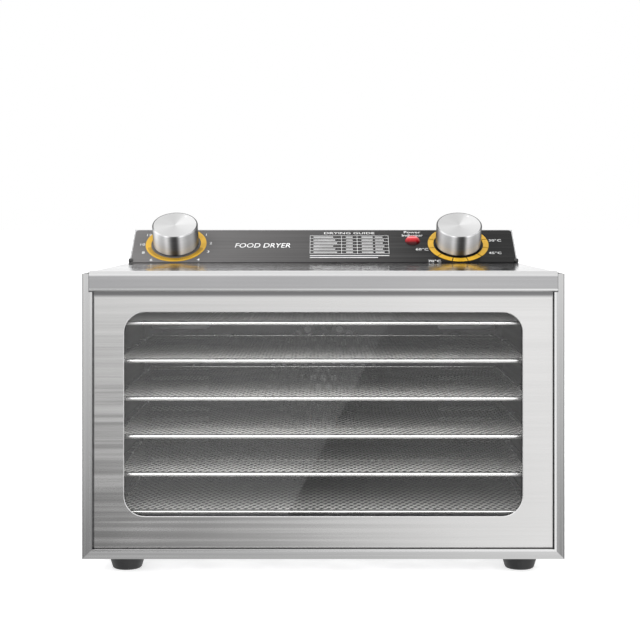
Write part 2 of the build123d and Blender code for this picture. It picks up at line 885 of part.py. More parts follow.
def glass_retainer():
    """A stepped frame: a lip on the glass, a wall round it and a flange on the door."""
    lip_back = glass_back + sheet
    wall_outer = retainer_gap + sheet
    flange_outer = wall_outer + retainer_flange
    frame = upright(square_frame(wall_outer, 6) - square_frame(retainer_gap, 5), gasket_front, lip_back)
    frame += upright(square_frame(wall_outer, 6) - window_frame(gasket_setback), glass_back, lip_back)
    frame += upright(
        square_frame(flange_outer, 8) - square_frame(retainer_gap, 5), gasket_front, gasket_front + sheet
    )
    for x, z in retainer_places():
        frame -= rod_y(x, z, retainer_stud_radius, gasket_front - 1, lip_back)
    return frame


def retainer_places():
    """Studs down the two sides and along the two long edges of the retainer."""
    inset = glass_overlap + retainer_gap + sheet + retainer_flange / 2
    x_side = window_half + inset
    rows = [window_z + k * window_height / 2 for k in (-0.8, 0, 0.8)]
    columns = [k * window_half for k in (-0.6, 0, 0.6)]
    sides = [(side * x_side, z) for side in (-1, 1) for z in rows]
    low, high = window_bottom - inset, window_top + inset
    return sides + [(x, z) for x in columns for z in (low, high)]


def retainer_nuts():
    """Nuts on the short studs that hold the retainer to the door."""
    nuts = []
    start = gasket_front + sheet
    for x, z in retainer_places():
        nut = Pos(x, z) * RegularPolygon(retainer_nut_radius, 6)
        stud = rod_y(x, z, retainer_stud_radius, gasket_front, start)
        nuts.append(upright(nut, start, start + retainer_nut_height) + stud)
    return Compound(nuts)


# Trays


def tray_mesh(z):
    """The mesh as one thin sheet, its edge held inside the rim."""
    half = tray_half - rim_width + mesh_bite
    depth = tray_depth / 2 - rim_width + mesh_bite
    return Pos(0, tray_y, z) * Box(2 * half, 2 * depth, mesh_thickness)


def tray_frame(z):
    outer = RectangleRounded(2 * tray_half, tray_depth, rim_corner_radius)
    inner_radius = rim_corner_radius - rim_width
    inner = RectangleRounded(2 * (tray_half - rim_width), tray_depth - 2 * rim_width, inner_radius)
    rim = extrude(outer - inner, rim_height / 2, both=True)
    edge_z = rim_height / 2
    long_edges = rim.edges().filter_by(lambda e: abs(abs(e.center().Z) - edge_z) < 0.01)
    rim = fillet(long_edges, rim_height * 0.4)
    return Pos(0, tray_y, z) * rim - tray_mesh(z)


PIECES = [
    front_post_left, front_post_right, front_sill, side_panel_left, side_panel_right,
    base_pan, top_cover, chamber_ceiling, chamber_floor, rack_left, rack_right, fan_baffle,
    back_panel, case_screws, power_inlet, inlet_pins, terminal_block, rubber_feet, foot_screws,
    fan_impeller, motor_shaft, motor_rotor, motor_stator, motor_coil, motor_bracket,
    heater_element, heater_clips, thermal_cutout,
    control_housing, control_fascia, fascia_end_clips, timer_scale_ring, temperature_scale_ring,
    timer_body, thermostat_body, control_nuts, timer_knob, timer_shaft, temperature_knob,
    temperature_shaft, indicator_lens, indicator_holder,
    door_panel, door_grip, door_glass, glass_gasket, glass_retainer, retainer_nuts,
]

os.makedirs("parts", exist_ok=True)
for piece in PIECES:
    export_step(piece(), f"parts/{piece.__name__}.step")
for number, level in enumerate(tray_levels, start=1):
    export_step(tray_frame(level), f"parts/tray_frame_{number}.step")
    export_step(tray_mesh(level), f"parts/tray_mesh_{number}.step")
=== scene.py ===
"""Looks of a tabletop food dehydrator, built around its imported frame.

Everything is in metres, in the frame's own axes: +X right, +Y back, +Z up. The case,
the door plates and the inner works keep their CAD shapes and get their finishes here.
The knobs, the tray meshes, the window's edge and the printed panel are made here.
"""

import json
import logging
import math
from dataclasses import dataclass, replace
from enum import Enum
from typing import ClassVar

import bmesh
import bpy
import numpy as np
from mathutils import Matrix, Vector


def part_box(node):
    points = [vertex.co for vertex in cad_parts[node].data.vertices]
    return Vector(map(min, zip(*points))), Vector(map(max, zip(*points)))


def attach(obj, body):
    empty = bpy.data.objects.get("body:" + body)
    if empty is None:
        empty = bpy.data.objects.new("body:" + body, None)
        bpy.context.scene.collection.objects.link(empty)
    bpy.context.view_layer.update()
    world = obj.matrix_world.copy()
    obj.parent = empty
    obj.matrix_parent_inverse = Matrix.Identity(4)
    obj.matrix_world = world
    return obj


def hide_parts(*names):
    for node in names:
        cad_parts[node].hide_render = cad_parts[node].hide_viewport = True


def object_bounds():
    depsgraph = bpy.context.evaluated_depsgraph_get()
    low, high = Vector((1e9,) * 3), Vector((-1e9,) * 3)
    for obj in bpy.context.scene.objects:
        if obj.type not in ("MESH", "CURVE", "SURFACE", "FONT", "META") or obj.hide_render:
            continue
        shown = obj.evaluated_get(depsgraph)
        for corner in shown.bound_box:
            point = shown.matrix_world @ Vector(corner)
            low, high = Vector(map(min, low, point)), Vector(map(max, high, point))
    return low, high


logging.basicConfig(level=logging.INFO, format="%(levelname)s %(message)s")
LOG = logging.getLogger("dehydrator")

MM = 0.001
WELD = 0.002 * MM               # points closer than this are one
TURNED_MAP = "turned"           # the name of a turned piece's own map
# Near-black colour of the painted shade in the door's seams and along the posts' outer edges.
SEAM_PAINTED_SHADE = (0.05, 0.05, 0.055)
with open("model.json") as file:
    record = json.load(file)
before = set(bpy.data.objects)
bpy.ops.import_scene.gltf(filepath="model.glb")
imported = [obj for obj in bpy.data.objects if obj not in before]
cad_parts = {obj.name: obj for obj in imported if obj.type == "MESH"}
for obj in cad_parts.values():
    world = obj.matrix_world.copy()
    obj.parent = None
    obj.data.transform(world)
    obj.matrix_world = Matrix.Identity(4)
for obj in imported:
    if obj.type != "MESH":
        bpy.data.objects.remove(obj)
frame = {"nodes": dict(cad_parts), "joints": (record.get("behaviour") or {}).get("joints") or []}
cad_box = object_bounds()

Colour = tuple[float, float, float]
Stops = tuple[tuple[float, float], ...]


# ---------------------------------------------------------------- node graphs


class Graph:
    """Short calls for the nodes that the finishes share."""

    def __init__(self, tree: bpy.types.NodeTree) -> None:
        """Keeps the tree that the nodes go into."""
        self.tree = tree

    def add(self, kind: str, **settings: object) -> bpy.types.Node:
        """Adds one node.

        Args:
            kind: The node's type name, without its ShaderNode prefix.
            settings: Attributes of the node, such as its operation.

        Returns:
            The new node.
        """
        node = self.tree.nodes.new("ShaderNode" + kind)
        for name, value in settings.items():
            setattr(node, name, value)
        return node

    def plug(self, target: bpy.types.NodeSocket, source: object) -> None:
        """Feeds an input.

        Args:
            target: The input.
            source: A socket to link into it, or a plain value to set it to.
        """
        if isinstance(source, bpy.types.NodeSocket):
            self.tree.links.new(source, target)
        else:
            target.default_value = source

    def position(self, axis: str) -> bpy.types.NodeSocket:
        """One object coordinate, in metres.

        Args:
            axis: X, Y or Z.

        Returns:
            The coordinate along that axis.
        """
        parts = self.add("SeparateXYZ")
        self.plug(parts.inputs["Vector"], self.add("TexCoord").outputs["Object"])
        return parts.outputs[axis]

    def place(self, scale: tuple[float, float, float]) -> bpy.types.NodeSocket:
        """Object coordinates, each multiplied by its own scale.

        Args:
            scale: The multipliers along X, Y and Z, per metre.

        Returns:
            The scaled place.
        """
        coordinates = self.add("TexCoord")
        mapping = self.add("Mapping")
        mapping.inputs["Scale"].default_value = scale
        self.plug(mapping.inputs["Vector"], coordinates.outputs["Object"])
        return mapping.outputs["Vector"]

    def noise(self, scale: tuple[float, float, float], detail: float = 3.0) -> bpy.types.NodeSocket:
        """Fractal noise on object coordinates.

        Args:
            scale: Cycles per metre along X, Y and Z.
            detail: How many finer octaves are added.

        Returns:
            The noise's value, from 0 to 1 about a middle of 0.5.
        """
        texture = self.add("TexNoise")
        texture.inputs["Scale"].default_value = 1.0
        texture.inputs["Detail"].default_value = detail
        self.plug(texture.inputs["Vector"], self.place(scale))
        return texture.outputs["Fac"]

    def remap(self, value: object, low: float, high: float,
              start: float = 0.3, end: float = 0.7) -> bpy.types.NodeSocket:
        """Carries a value from one range to another, with soft ends, and holds it there.

        Args:
            value: The value.
            low: What it becomes at the start.
            high: What it becomes at the end.
            start: The range's start.
            end: The range's end.

        Returns:
            The carried value.
        """
        node = self.add("MapRange", interpolation_type="SMOOTHSTEP")
        self.plug(node.inputs["Value"], value)
        limits = {"From Min": start, "From Max": end, "To Min": low, "To Max": high}
        for name, limit in limits.items():
            node.inputs[name].default_value = limit
        return node.outputs["Result"]

    def span(self, value: object, start: float, end: float) -> bpy.types.NodeSocket:
        """How far a value is on the way from start to end.

        Args:
            value: The value.
            start: Where the share is 0.
            end: Where the share is 1.

        Returns:
            The share, held between 0 and 1.
        """
        node = self.add("MapRange")
        self.plug(node.inputs["Value"], value)
        node.inputs["From Min"].default_value = start
        node.inputs["From Max"].default_value = end
        return node.outputs["Result"]

    def ramp(self, value: object, stops: list[tuple[float, Colour]],
             interpolation: str = "LINEAR") -> bpy.types.NodeSocket:
        """A colour that changes from stop to stop.

        Args:
            value: What picks the colour, from 0 to 1.
            stops: Place and colour of each stop, in rising order.
            interpolation: How the colour runs between stops.

        Returns:
            The colour at the value.
        """
        node = self.add("ValToRGB")
        elements = node.color_ramp.elements
        node.color_ramp.interpolation = interpolation
        while len(elements) < len(stops):
            elements.new(0.5)
        for element, (place, colour) in zip(elements, stops):
            element.position = place
            element.color = (*colour, 1.0)
        self.plug(node.inputs["Fac"], value)
        return node.outputs["Color"]

    def math(self, operation: str, first: object, second: object = 0.0) -> bpy.types.NodeSocket:
        """One arithmetic step.

        Args:
            operation: The step's name.
            first: Its first value.
            second: Its second value, where it takes two.

        Returns:
            The result.
        """
        node = self.add("Math", operation=operation)
        self.plug(node.inputs[0], first)
        self.plug(node.inputs[1], second)
        return node.outputs["Value"]

    def blend(self, share: object, first: object, second: object,
              mode: str = "MIX") -> bpy.types.NodeSocket:
        """Mixes two colours, each a socket or a plain colour.

        Args:
            share: The second colour's share, from 0 to 1.
            first: The first colour.
            second: The second colour.
            mode: How the second acts on the first.

        Returns:
            The mixed colour.
        """
        node = self.add("Mix", data_type="RGBA", blend_type=mode)
        self.plug(node.inputs["Factor"], share)
        colours = [socket for socket in node.inputs if socket.type == "RGBA"]
        for socket, colour in zip(colours, (first, second)):
            self.plug(socket, colour if isinstance(colour, bpy.types.NodeSocket) else (*colour, 1.0))
        return next(socket for socket in node.outputs if socket.type == "RGBA")

    def bump(self, height: object, depth: float, strength: float = 1.0,
             base: object = None) -> bpy.types.NodeSocket:
        """A normal tilted by a height.

        Args:
            height: The height, from 0 to 1.
            depth: How deep a height of 1 is, in metres.
            strength: The bump's strength, from 0 to 1.
            base: Another bump's normal to add to, or None.

        Returns:
            The tilted normal.
        """
        node = self.add("Bump")
        node.inputs["Strength"].default_value = strength
        node.inputs["Distance"].default_value = depth
        self.plug(node.inputs["Height"], height)
        if base is not None:
            self.plug(node.inputs["Normal"], base)
        return node.outputs["Normal"]


def scaled(colour: Colour, factor: float) -> Colour:
    """A colour made lighter or darker, held at 1."""
    red, green, blue = (min(1.0, channel * factor) for channel in colour)
    return red, green, blue


class BrushAxis(Enum):
    """The way that a sheet's brush lines run, as cycles per metre along X, Y and Z."""

    ACROSS = (3.0, 320.0, 320.0)
    DEEP = (320.0, 3.0, 320.0)
    UPRIGHT = (320.0, 320.0, 3.0)


@dataclass(frozen=True)
class Finish:
    """A named surface. Each kind fills in its own nodes."""

    name: str
    colour: Colour = (0.7, 0.7, 0.7)
    roughness: float = 0.4

    def material(self) -> bpy.types.Material:
        """The finish's material, made the first time it is asked for.

        Returns:
            The material.
        """
        known = bpy.data.materials.get(self.name)
        if known is not None:
            return known
        made = bpy.data.materials.new(self.name)
        made.use_nodes = True
        made.node_tree.nodes.clear()
        graph = Graph(made.node_tree)
        output = graph.add("OutputMaterial")
        shader = graph.add("BsdfPrincipled")
        shader.inputs["Base Color"].default_value = (*self.colour, 1.0)
        shader.inputs["Roughness"].default_value = self.roughness
        surface = self.shade(graph, shader)
        graph.plug(output.inputs["Surface"], surface)
        return made

    def shade(self, graph: Graph, shader: bpy.types.Node) -> bpy.types.NodeSocket:
        """Fills in the shader.

        Args:
            graph: The material's node graph.
            shader: Its Principled node.

        Returns:
            The shader socket that the surface shows.
        """
        return shader.outputs["BSDF"]


@dataclass(frozen=True)
class BrushedSteel(Finish):
    """Stainless sheet with long brush lines, faint smudges and a slight wave.

    Attributes:
        brush: The way that its brush lines run.
        contrast: How much lighter and darker its lines are, as a share of the colour.
        wave: How deep the sheet's slow wave is.
    """

    brush: BrushAxis = BrushAxis.ACROSS
    contrast: float = 0.09
    wave: float = 0.00025

    def shade(self, graph: Graph, shader: bpy.types.Node) -> bpy.types.NodeSocket:
        """Lines vary the colour, the roughness and the height; see Finish.shade."""
        lines = graph.noise(self.brush.value, 6.0)
        smudge = graph.noise((9.0, 9.0, 9.0), 3.0)
        dark, light = scaled(self.colour, 1 - self.contrast), scaled(self.colour, 1 + self.contrast)
        graph.plug(shader.inputs["Base Color"], graph.blend(graph.remap(lines, 0.0, 1.0), dark, light))
        streaks = graph.remap(lines, -0.05, 0.06)
        patches = graph.remap(smudge, self.roughness - 0.03, self.roughness + 0.04)
        graph.plug(shader.inputs["Roughness"], graph.math("ADD", streaks, patches))
        sheet_wave = graph.bump(graph.noise((5.0, 5.0, 5.0), 0.0), self.wave, 0.5)
        graph.plug(shader.inputs["Normal"], graph.bump(lines, 0.00006, 0.35, sheet_wave))
        shader.inputs["Metallic"].default_value = 1.0
        return shader.outputs["BSDF"]


@dataclass(frozen=True)
class SteelWithPaintedSeamShade(BrushedSteel):
    """Brushed sheet with painted shade in the seams round it, where its frame overlaps it, and a painted
    shadow under the grip.

    Attributes:
        side: Distance from the middle, across, where the side seams' painted shade starts.
        foot: Height below which the foot seam's painted shade starts.
        brow: Height above which the painted shadow under the grip starts.
        side_fade: Width over which a side seam's painted shade darkens.
        brow_fade: Height over which the painted shadow under the grip darkens.
    """

    side: float = 0.1616
    foot: float = 0.0186
    brow: float = 0.1957
    side_fade: float = 1.3 * MM
    brow_fade: float = 3.1 * MM

    def shade(self, graph: Graph, shader: bpy.types.Node) -> bpy.types.NodeSocket:
        """Paints shade into the colour by the nearest seam's share; see Finish.shade."""
        surface = super().shade(graph, shader)
        height = graph.position("Z")
        across = graph.math("ABSOLUTE", graph.position("X"))
        sides = graph.remap(across, 0.0, 0.8, self.side, self.side + self.side_fade)
        foot = graph.remap(height, 0.85, 0.0, self.foot - 0.6 * MM, self.foot + 0.8 * MM)
        brow = graph.remap(height, 0.0, 0.78, self.brow, self.brow + self.brow_fade)
        seam = graph.math("MAXIMUM", graph.math("MAXIMUM", sides, foot), brow)
        steel = shader.inputs["Base Color"].links[0].from_socket
        # Painted shade: the steel runs to the near-black seam colour by the nearest seam's share.
        graph.plug(shader.inputs["Base Color"], graph.blend(seam, steel, SEAM_PAINTED_SHADE))
        return surface


@dataclass(frozen=True)
class RolledSteelPaintedHighlight(BrushedSteel):
    """Brushed sheet with two rolled edges, one above and one below, each with a painted highlight.

    Attributes:
        hem: Height below which the lower edge is bright.
        crest: Height above which the upper edge is bright.
        bright: The colour of the edges' painted highlight.
    """

    hem: float = 0.2026
    crest: float = 0.2114
    bright: Colour = (0.8, 0.8, 0.8)

    def shade(self, graph: Graph, shader: bpy.types.Node) -> bpy.types.NodeSocket:
        """Paints a highlight into both edges by carrying the colour to the bright one; see Finish.shade."""
        surface = super().shade(graph, shader)
        height = graph.position("Z")
        below = graph.remap(height, 1.0, 0.0, self.hem - 0.4 * MM, self.hem + 0.4 * MM)
        above = graph.remap(height, 0.0, 0.75, self.crest - 0.4 * MM, self.crest + 0.8 * MM)
        steel = shader.inputs["Base Color"].links[0].from_socket
        edges = graph.math("MAXIMUM", below, above)
        # Painted highlight on the rolled crest and on the hem.
        graph.plug(shader.inputs["Base Color"], graph.blend(edges, steel, self.bright))
        return surface


@dataclass(frozen=True)
class PolishedMetal(Finish):
    """Bright metal with a fine grain and a trace of wear in its gloss.

    Attributes:
        grain: Cycles of the grain per metre.
        metal: How metallic it is, from 0 to 1.
    """

    grain: float = 600.0
    metal: float = 1.0

    def shade(self, graph: Graph, shader: bpy.types.Node) -> bpy.types.NodeSocket:
        """Fine grain varies the roughness and the height; see Finish.shade."""
        grain = graph.noise((self.grain, self.grain, self.grain), 3.0)
        wear = graph.noise((40.0, 40.0, 40.0), 4.0)
        worn = graph.blend(graph.remap(wear, 0.0, 1.0), scaled(self.colour, 0.93), self.colour)
        graph.plug(shader.inputs["Base Color"], worn)
        spread = graph.remap(wear, self.roughness * 0.8, self.roughness * 1.35)
        graph.plug(shader.inputs["Roughness"], spread)
        graph.plug(shader.inputs["Normal"], graph.bump(grain, 0.00001, 0.2))
        shader.inputs["Metallic"].default_value = self.metal
        return shader.outputs["BSDF"]


@dataclass(frozen=True)
class StrandMetalPaintedShade(PolishedMetal):
    """Mesh strands: bright at the tray's front, with painted shade deepening towards the back of the
    chamber.

    Attributes:
        rear: The colour at the back of the tray, under the full painted shade, as a share of the colour.
        unshaded_to: How far back the strands are free of painted shade.
        shaded_from: From where the painted shade is full.
    """

    rear: float = 0.15
    unshaded_to: float = -0.16
    shaded_from: float = 0.0

    def shade(self, graph: Graph, shader: bpy.types.Node) -> bpy.types.NodeSocket:
        """Multiplies the colour by a painted shade that deepens along Y; see Finish.shade."""
        surface = super().shade(graph, shader)
        # Painted shade: the strands darken towards the back, where less light reaches.
        fade = graph.remap(graph.position("Y"), 1.0, self.rear, self.unshaded_to, self.shaded_from)
        shade = graph.add("CombineColor")
        for channel in ("Red", "Green", "Blue"):
            graph.plug(shade.inputs[channel], fade)
        steel = shader.inputs["Base Color"].links[0].from_socket
        shaded = graph.blend(1.0, steel, shade.outputs["Color"], "MULTIPLY")
        graph.plug(shader.inputs["Base Color"], shaded)
        return surface


@dataclass(frozen=True)
class SpunMetalPaintedSheen(Finish):
    """A turned face or side, with wedges of painted sheen and painted reflection round it, and fine turning
    lines.

    Attributes:
        dim: The tone of the darkest painted wedge, as a share of the colour.
        wedges: Turn, from 0 to 1, and brightness, from 0 to 1, of each stop of painted sheen.
        rings: Turning lines along the profile.
        metal: How metallic it is, from 0 to 1.
    """

    dim: float = 0.55
    wedges: Stops = ((0.0, 0.5), (1.0, 0.5))
    rings: float = 140.0
    metal: float = 1.0

    def shade(self, graph: Graph, shader: bpy.types.Node) -> bpy.types.NodeSocket:
        """Painted sheen and lines follow the piece's own turned map; see Finish.shade."""
        around = graph.add("UVMap", uv_map=TURNED_MAP)
        parts = graph.add("SeparateXYZ")
        graph.plug(parts.inputs["Vector"], around.outputs["UV"])
        lines = graph.add("TexNoise", noise_dimensions="1D")
        lines.inputs["Scale"].default_value = self.rings
        lines.inputs["Detail"].default_value = 4.0
        graph.plug(lines.inputs["W"], parts.outputs["Y"])
        fine = lines.outputs["Fac"]
        tones = [
            (turn, scaled(self.colour, self.dim + (1 - self.dim) * bright)) for turn, bright in self.wedges
        ]
        # Painted sheen: the colour brightens and darkens round the turn in place of highlights and
        # reflections, and turns with the knob.
        sheen = graph.ramp(parts.outputs["X"], tones, "B_SPLINE")
        tint = graph.blend(graph.remap(fine, 0.0, 1.0), (0.95, 0.95, 0.95), (1.0, 1.0, 1.0))
        graph.plug(shader.inputs["Base Color"], graph.blend(1.0, sheen, tint, "MULTIPLY"))
        spread = graph.remap(fine, self.roughness - 0.04, self.roughness + 0.06)
        graph.plug(shader.inputs["Roughness"], spread)
        graph.plug(shader.inputs["Normal"], graph.bump(fine, 0.00001, 0.15))
        shader.inputs["Metallic"].default_value = self.metal
        return shader.outputs["BSDF"]


@dataclass(frozen=True)
class MouldedPlastic(Finish):
    """Moulded plastic or rubber: a fine skin texture and slightly uneven gloss.

    Attributes:
        texture_scale: Cycles of the skin texture per metre.
        texture_depth: How deep it is.
    """

    texture_scale: float = 900.0
    texture_depth: float = 0.00004

    def shade(self, graph: Graph, shader: bpy.types.Node) -> bpy.types.NodeSocket:
        """A fine texture and soft patches; see Finish.shade."""
        skin = graph.noise((self.texture_scale,) * 3, 2.0)
        patches = graph.noise((35.0, 35.0, 35.0), 4.0)
        light = scaled(self.colour, 1.35)
        uneven = graph.blend(graph.remap(patches, 0.0, 1.0), self.colour, light)
        graph.plug(shader.inputs["Base Color"], uneven)
        spread = graph.remap(patches, self.roughness - 0.06, self.roughness + 0.08)
        graph.plug(shader.inputs["Roughness"], spread)
        graph.plug(shader.inputs["Normal"], graph.bump(skin, self.texture_depth, 0.4))
        return shader.outputs["BSDF"]


@dataclass(frozen=True)
class FasciaPaintedReflection(Finish):
    """A black panel with a painted reflection that fades from grey on the left to black on the right, with
    faint lines.

    Attributes:
        grey: The colour of the painted reflection at its left end.
        grey_to: The x up to which the painted reflection is fully grey.
        black_from: The x from which the painted reflection is gone and the panel is black.
    """

    grey: Colour = (0.14, 0.136, 0.136)
    grey_to: float = -0.17
    black_from: float = 0.11

    def shade(self, graph: Graph, shader: bpy.types.Node) -> bpy.types.NodeSocket:
        """The painted reflection's fade follows X; lines across vary its tone and gloss; see Finish.shade.
        """
        lines = graph.noise((6.0, 500.0, 500.0), 5.0)
        # Painted reflection: grey on the left running to black on the right, fixed to the panel.
        fade = graph.span(graph.position("X"), self.grey_to, self.black_from)
        uneven = graph.math("MULTIPLY", graph.remap(lines, -1.0, 1.0), 0.05)
        share = graph.math("ADD", fade, uneven)
        graph.plug(shader.inputs["Base Color"], graph.blend(share, self.grey, self.colour))
        graph.plug(shader.inputs["Roughness"], graph.remap(lines, self.roughness, self.roughness + 0.08))
        graph.plug(shader.inputs["Normal"], graph.bump(lines, 0.00002, 0.15))
        shader.inputs["Specular IOR Level"].default_value = 0.15
        return shader.outputs["BSDF"]


@dataclass(frozen=True)
class PrintedInk(Finish):
    """Ink or foil laid on the panel, slightly uneven in strength.

    Attributes:
        metal: How metallic it is, from 0 to 1.
    """

    metal: float = 0.0

    def shade(self, graph: Graph, shader: bpy.types.Node) -> bpy.types.NodeSocket:
        """Uneven strength and a dry, fine tooth; see Finish.shade."""
        patches = graph.noise((90.0, 90.0, 90.0), 4.0)
        tooth = graph.noise((1500.0, 1500.0, 1500.0), 2.0)
        strength = graph.blend(graph.remap(patches, 0.0, 1.0), scaled(self.colour, 0.8), self.colour)
        graph.plug(shader.inputs["Base Color"], strength)
        spread = graph.remap(tooth, self.roughness - 0.06, self.roughness + 0.06)
        graph.plug(shader.inputs["Roughness"], spread)
        graph.plug(shader.inputs["Normal"], graph.bump(tooth, 0.00001, 0.2))
        shader.inputs["Metallic"].default_value = self.metal
        return shader.outputs["BSDF"]


@dataclass(frozen=True)
class ClearPane(Finish):
    """Clear glass that lets lamps through, with a trace of tint and a slight wave."""

    def shade(self, graph: Graph, shader: bpy.types.Node) -> bpy.types.NodeSocket:
        """Glass for sight and a clear pass for lamps; see Finish.shade."""
        tint = graph.noise((25.0, 25.0, 25.0), 4.0)
        shade = scaled(self.colour, 0.97)
        graph.plug(shader.inputs["Base Color"], graph.blend(graph.remap(tint, 0.0, 1.0), shade, self.colour))
        graph.plug(shader.inputs["Normal"], graph.bump(graph.noise((4.0, 4.0, 4.0), 0.0), 0.00005, 0.2))
        shader.inputs["Transmission Weight"].default_value = 1.0
        shader.inputs["IOR"].default_value = 1.45
        path = graph.add("LightPath")
        clear = graph.add("BsdfTransparent")
        lamps = graph.math("MAXIMUM", path.outputs["Is Shadow Ray"], path.outputs["Is Diffuse Ray"])
        mix = graph.add("MixShader")
        graph.plug(mix.inputs[0], lamps)
        graph.plug(mix.inputs[1], shader.outputs["BSDF"])
        graph.plug(mix.inputs[2], clear.outputs["BSDF"])
        return mix.outputs["Shader"]


@dataclass(frozen=True)
class LampPlasticPaintedLight(Finish):
    """Clear red plastic over a small lamp, with painted shade at its rim and a painted highlight near its
    crown.

    Attributes:
        crown: The height of its highest point.
        BANDS: Depth below the crown, in mm, and colour of each band, from painted shade at the rim to a
            painted highlight near the crown.
        DEEPEST: The depth at which the bands end, in mm.
    """

    crown: float = 0.2359
    DEEPEST: ClassVar[float] = 8.0
    # Painted light: dark red painted shade at the rim and a pink painted highlight about 1.5 mm below the
    # crown.
    BANDS: ClassVar[tuple[tuple[float, Colour], ...]] = (
        (7.4, (0.03, 0.001, 0.002)), (6.0, (0.08, 0.002, 0.004)), (4.6, (0.32, 0.008, 0.012)),
        (2.6, (0.5, 0.02, 0.03)), (1.5, (0.8, 0.26, 0.27)), (0.8, (0.42, 0.02, 0.03)),
        (0.2, (0.3, 0.008, 0.012)),
    )

    def shade(self, graph: Graph, shader: bpy.types.Node) -> bpy.types.NodeSocket:
        """Bands of painted shade and painted highlight by depth below the crown, which also glow faintly;
        see Finish.shade.
        """
        patches = graph.noise((160.0, 160.0, 160.0), 2.0)
        rise = graph.span(graph.position("Z"), self.crown - self.DEEPEST * MM, self.crown)
        painted_light_bands = graph.ramp(rise, [(1 - depth / self.DEEPEST, colour) for depth, colour in self.BANDS])
        graph.plug(shader.inputs["Base Color"], painted_light_bands)
        graph.plug(shader.inputs["Roughness"], graph.remap(patches, self.roughness, self.roughness + 0.08))
        graph.plug(shader.inputs["Normal"], graph.bump(patches, 0.00005, 0.2))
        # The faint glow carries the same painted highlight and shade.
        graph.plug(shader.inputs["Emission Color"], painted_light_bands)
        shader.inputs["Emission Strength"].default_value = 0.1
        shader.inputs["Specular IOR Level"].default_value = 0.3
        return shader.outputs["BSDF"]


@dataclass(frozen=True)
class WoundWire(Finish):
    """Layers of fine enamelled wire, or stacked sheets, as close parallel ridges.

    Attributes:
        ridges: Cycles of the ridges per metre along X, Y and Z.
        metal: How metallic it is, from 0 to 1.
    """

    ridges: tuple[float, float, float] = (0.0, 1600.0, 0.0)
    metal: float = 1.0

    def shade(self, graph: Graph, shader: bpy.types.Node) -> bpy.types.NodeSocket:
        """Ridges from a banded wave; see Finish.shade."""
        wave = graph.add("TexWave", wave_type="BANDS", bands_direction="DIAGONAL")
        wave.inputs["Scale"].default_value = 1.0
        wave.inputs["Distortion"].default_value = 0.4
        graph.plug(wave.inputs["Vector"], graph.place(self.ridges))
        ridged = graph.blend(wave.outputs["Fac"], scaled(self.colour, 0.6), self.colour)
        graph.plug(shader.inputs["Base Color"], ridged)
        spread = graph.remap(wave.outputs["Fac"], self.roughness, self.roughness + 0.15)
        graph.plug(shader.inputs["Roughness"], spread)
        graph.plug(shader.inputs["Normal"], graph.bump(wave.outputs["Fac"], 0.0001, 0.5))
        shader.inputs["Metallic"].default_value = self.metal
        return shader.outputs["BSDF"]


# ---------------------------------------------------------------- meshes


@dataclass
class Surface:
    """Corner points and four-sided faces, worked out as whole arrays.

    Attributes:
        points: Corner places, one row of three each, in metres.
        faces: Corner numbers, one row of four each.
        places: Where each face corner lies on the piece's own map, or None.
        groups: Which of the piece's finishes each face has, or None for the first.
    """

    points: np.ndarray
    faces: np.ndarray
    places: np.ndarray | None = None
    groups: np.ndarray | None = None


def grid_faces(rows: int, columns: int, wrap_rows: bool, wrap_columns: bool) -> np.ndarray:
    """Faces of a grid whose point (r, c) is number r * columns + c.

    Args:
        rows: Number of rows of points.
        columns: Number of points in a row.
        wrap_rows: Whether the last row joins the first.
        wrap_columns: Whether each row closes on itself.

    Returns:
        One row of four corner numbers for each face.
    """
    row = np.arange(rows if wrap_rows else rows - 1)[:, None]
    column = np.arange(columns if wrap_columns else columns - 1)[None, :]
    next_row = (row + 1) % rows
    next_column = (column + 1) % columns
    corners = [
        row * columns + column,
        row * columns + next_column,
        next_row * columns + next_column,
        next_row * columns + column,
    ]
    return np.stack(corners, axis=-1).reshape(-1, 4)


def add_object(name: str, data: bpy.types.ID | None) -> bpy.types.Object:
    """Puts data into the scene.

    Args:
        name: The object's name.
        data: Its mesh, curve, light or camera.

    Returns:
        The new object, at the origin.
    """
    made = bpy.data.objects.new(name, data)
    bpy.context.scene.collection.objects.link(made)
    return made


def build_piece(name: str, surface: Surface, finishes: list[Finish], body: str,
                sharp: float = 35.0) -> bpy.types.Object:
    """Puts a surface into a mesh object that rides on a body.

    Doubled points are merged, which closes seams and poles, and faces are then
    turned to point outwards.

    Args:
        name: The piece's name.
        surface: Its points and faces.
        finishes: Its finishes, in the order that surface.groups numbers them.
        body: The CAD body that it moves with.
        sharp: Edges that turn by more than this many degrees stay crisp.

    Returns:
        The new object.
    """
    mesh = bpy.data.meshes.new(name)
    count = len(surface.faces)
    mesh.vertices.add(len(surface.points))
    mesh.vertices.foreach_set("co", surface.points.astype(np.float32).ravel())
    mesh.loops.add(4 * count)
    mesh.loops.foreach_set("vertex_index", surface.faces.astype(np.int32).ravel())
    mesh.polygons.add(count)
    mesh.polygons.foreach_set("loop_start", np.arange(0, 4 * count, 4, dtype=np.int32))
    mesh.polygons.foreach_set("use_smooth", np.ones(count, dtype=bool))
    if surface.groups is not None:
        mesh.polygons.foreach_set("material_index", surface.groups.astype(np.int32))
    if surface.places is not None:
        layer = mesh.uv_layers.new(name=TURNED_MAP)
        layer.data.foreach_set("uv", surface.places.astype(np.float32).ravel())
    mesh.update(calc_edges=True)
    close_and_orient(mesh)
    mesh.set_sharp_from_angle(angle=math.radians(sharp))
    for finish in finishes:
        mesh.materials.append(finish.material())
    piece = add_object(name, mesh)
    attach(piece, body)
    LOG.info("%s: %d faces on %s", name, len(mesh.polygons), body)
    return piece


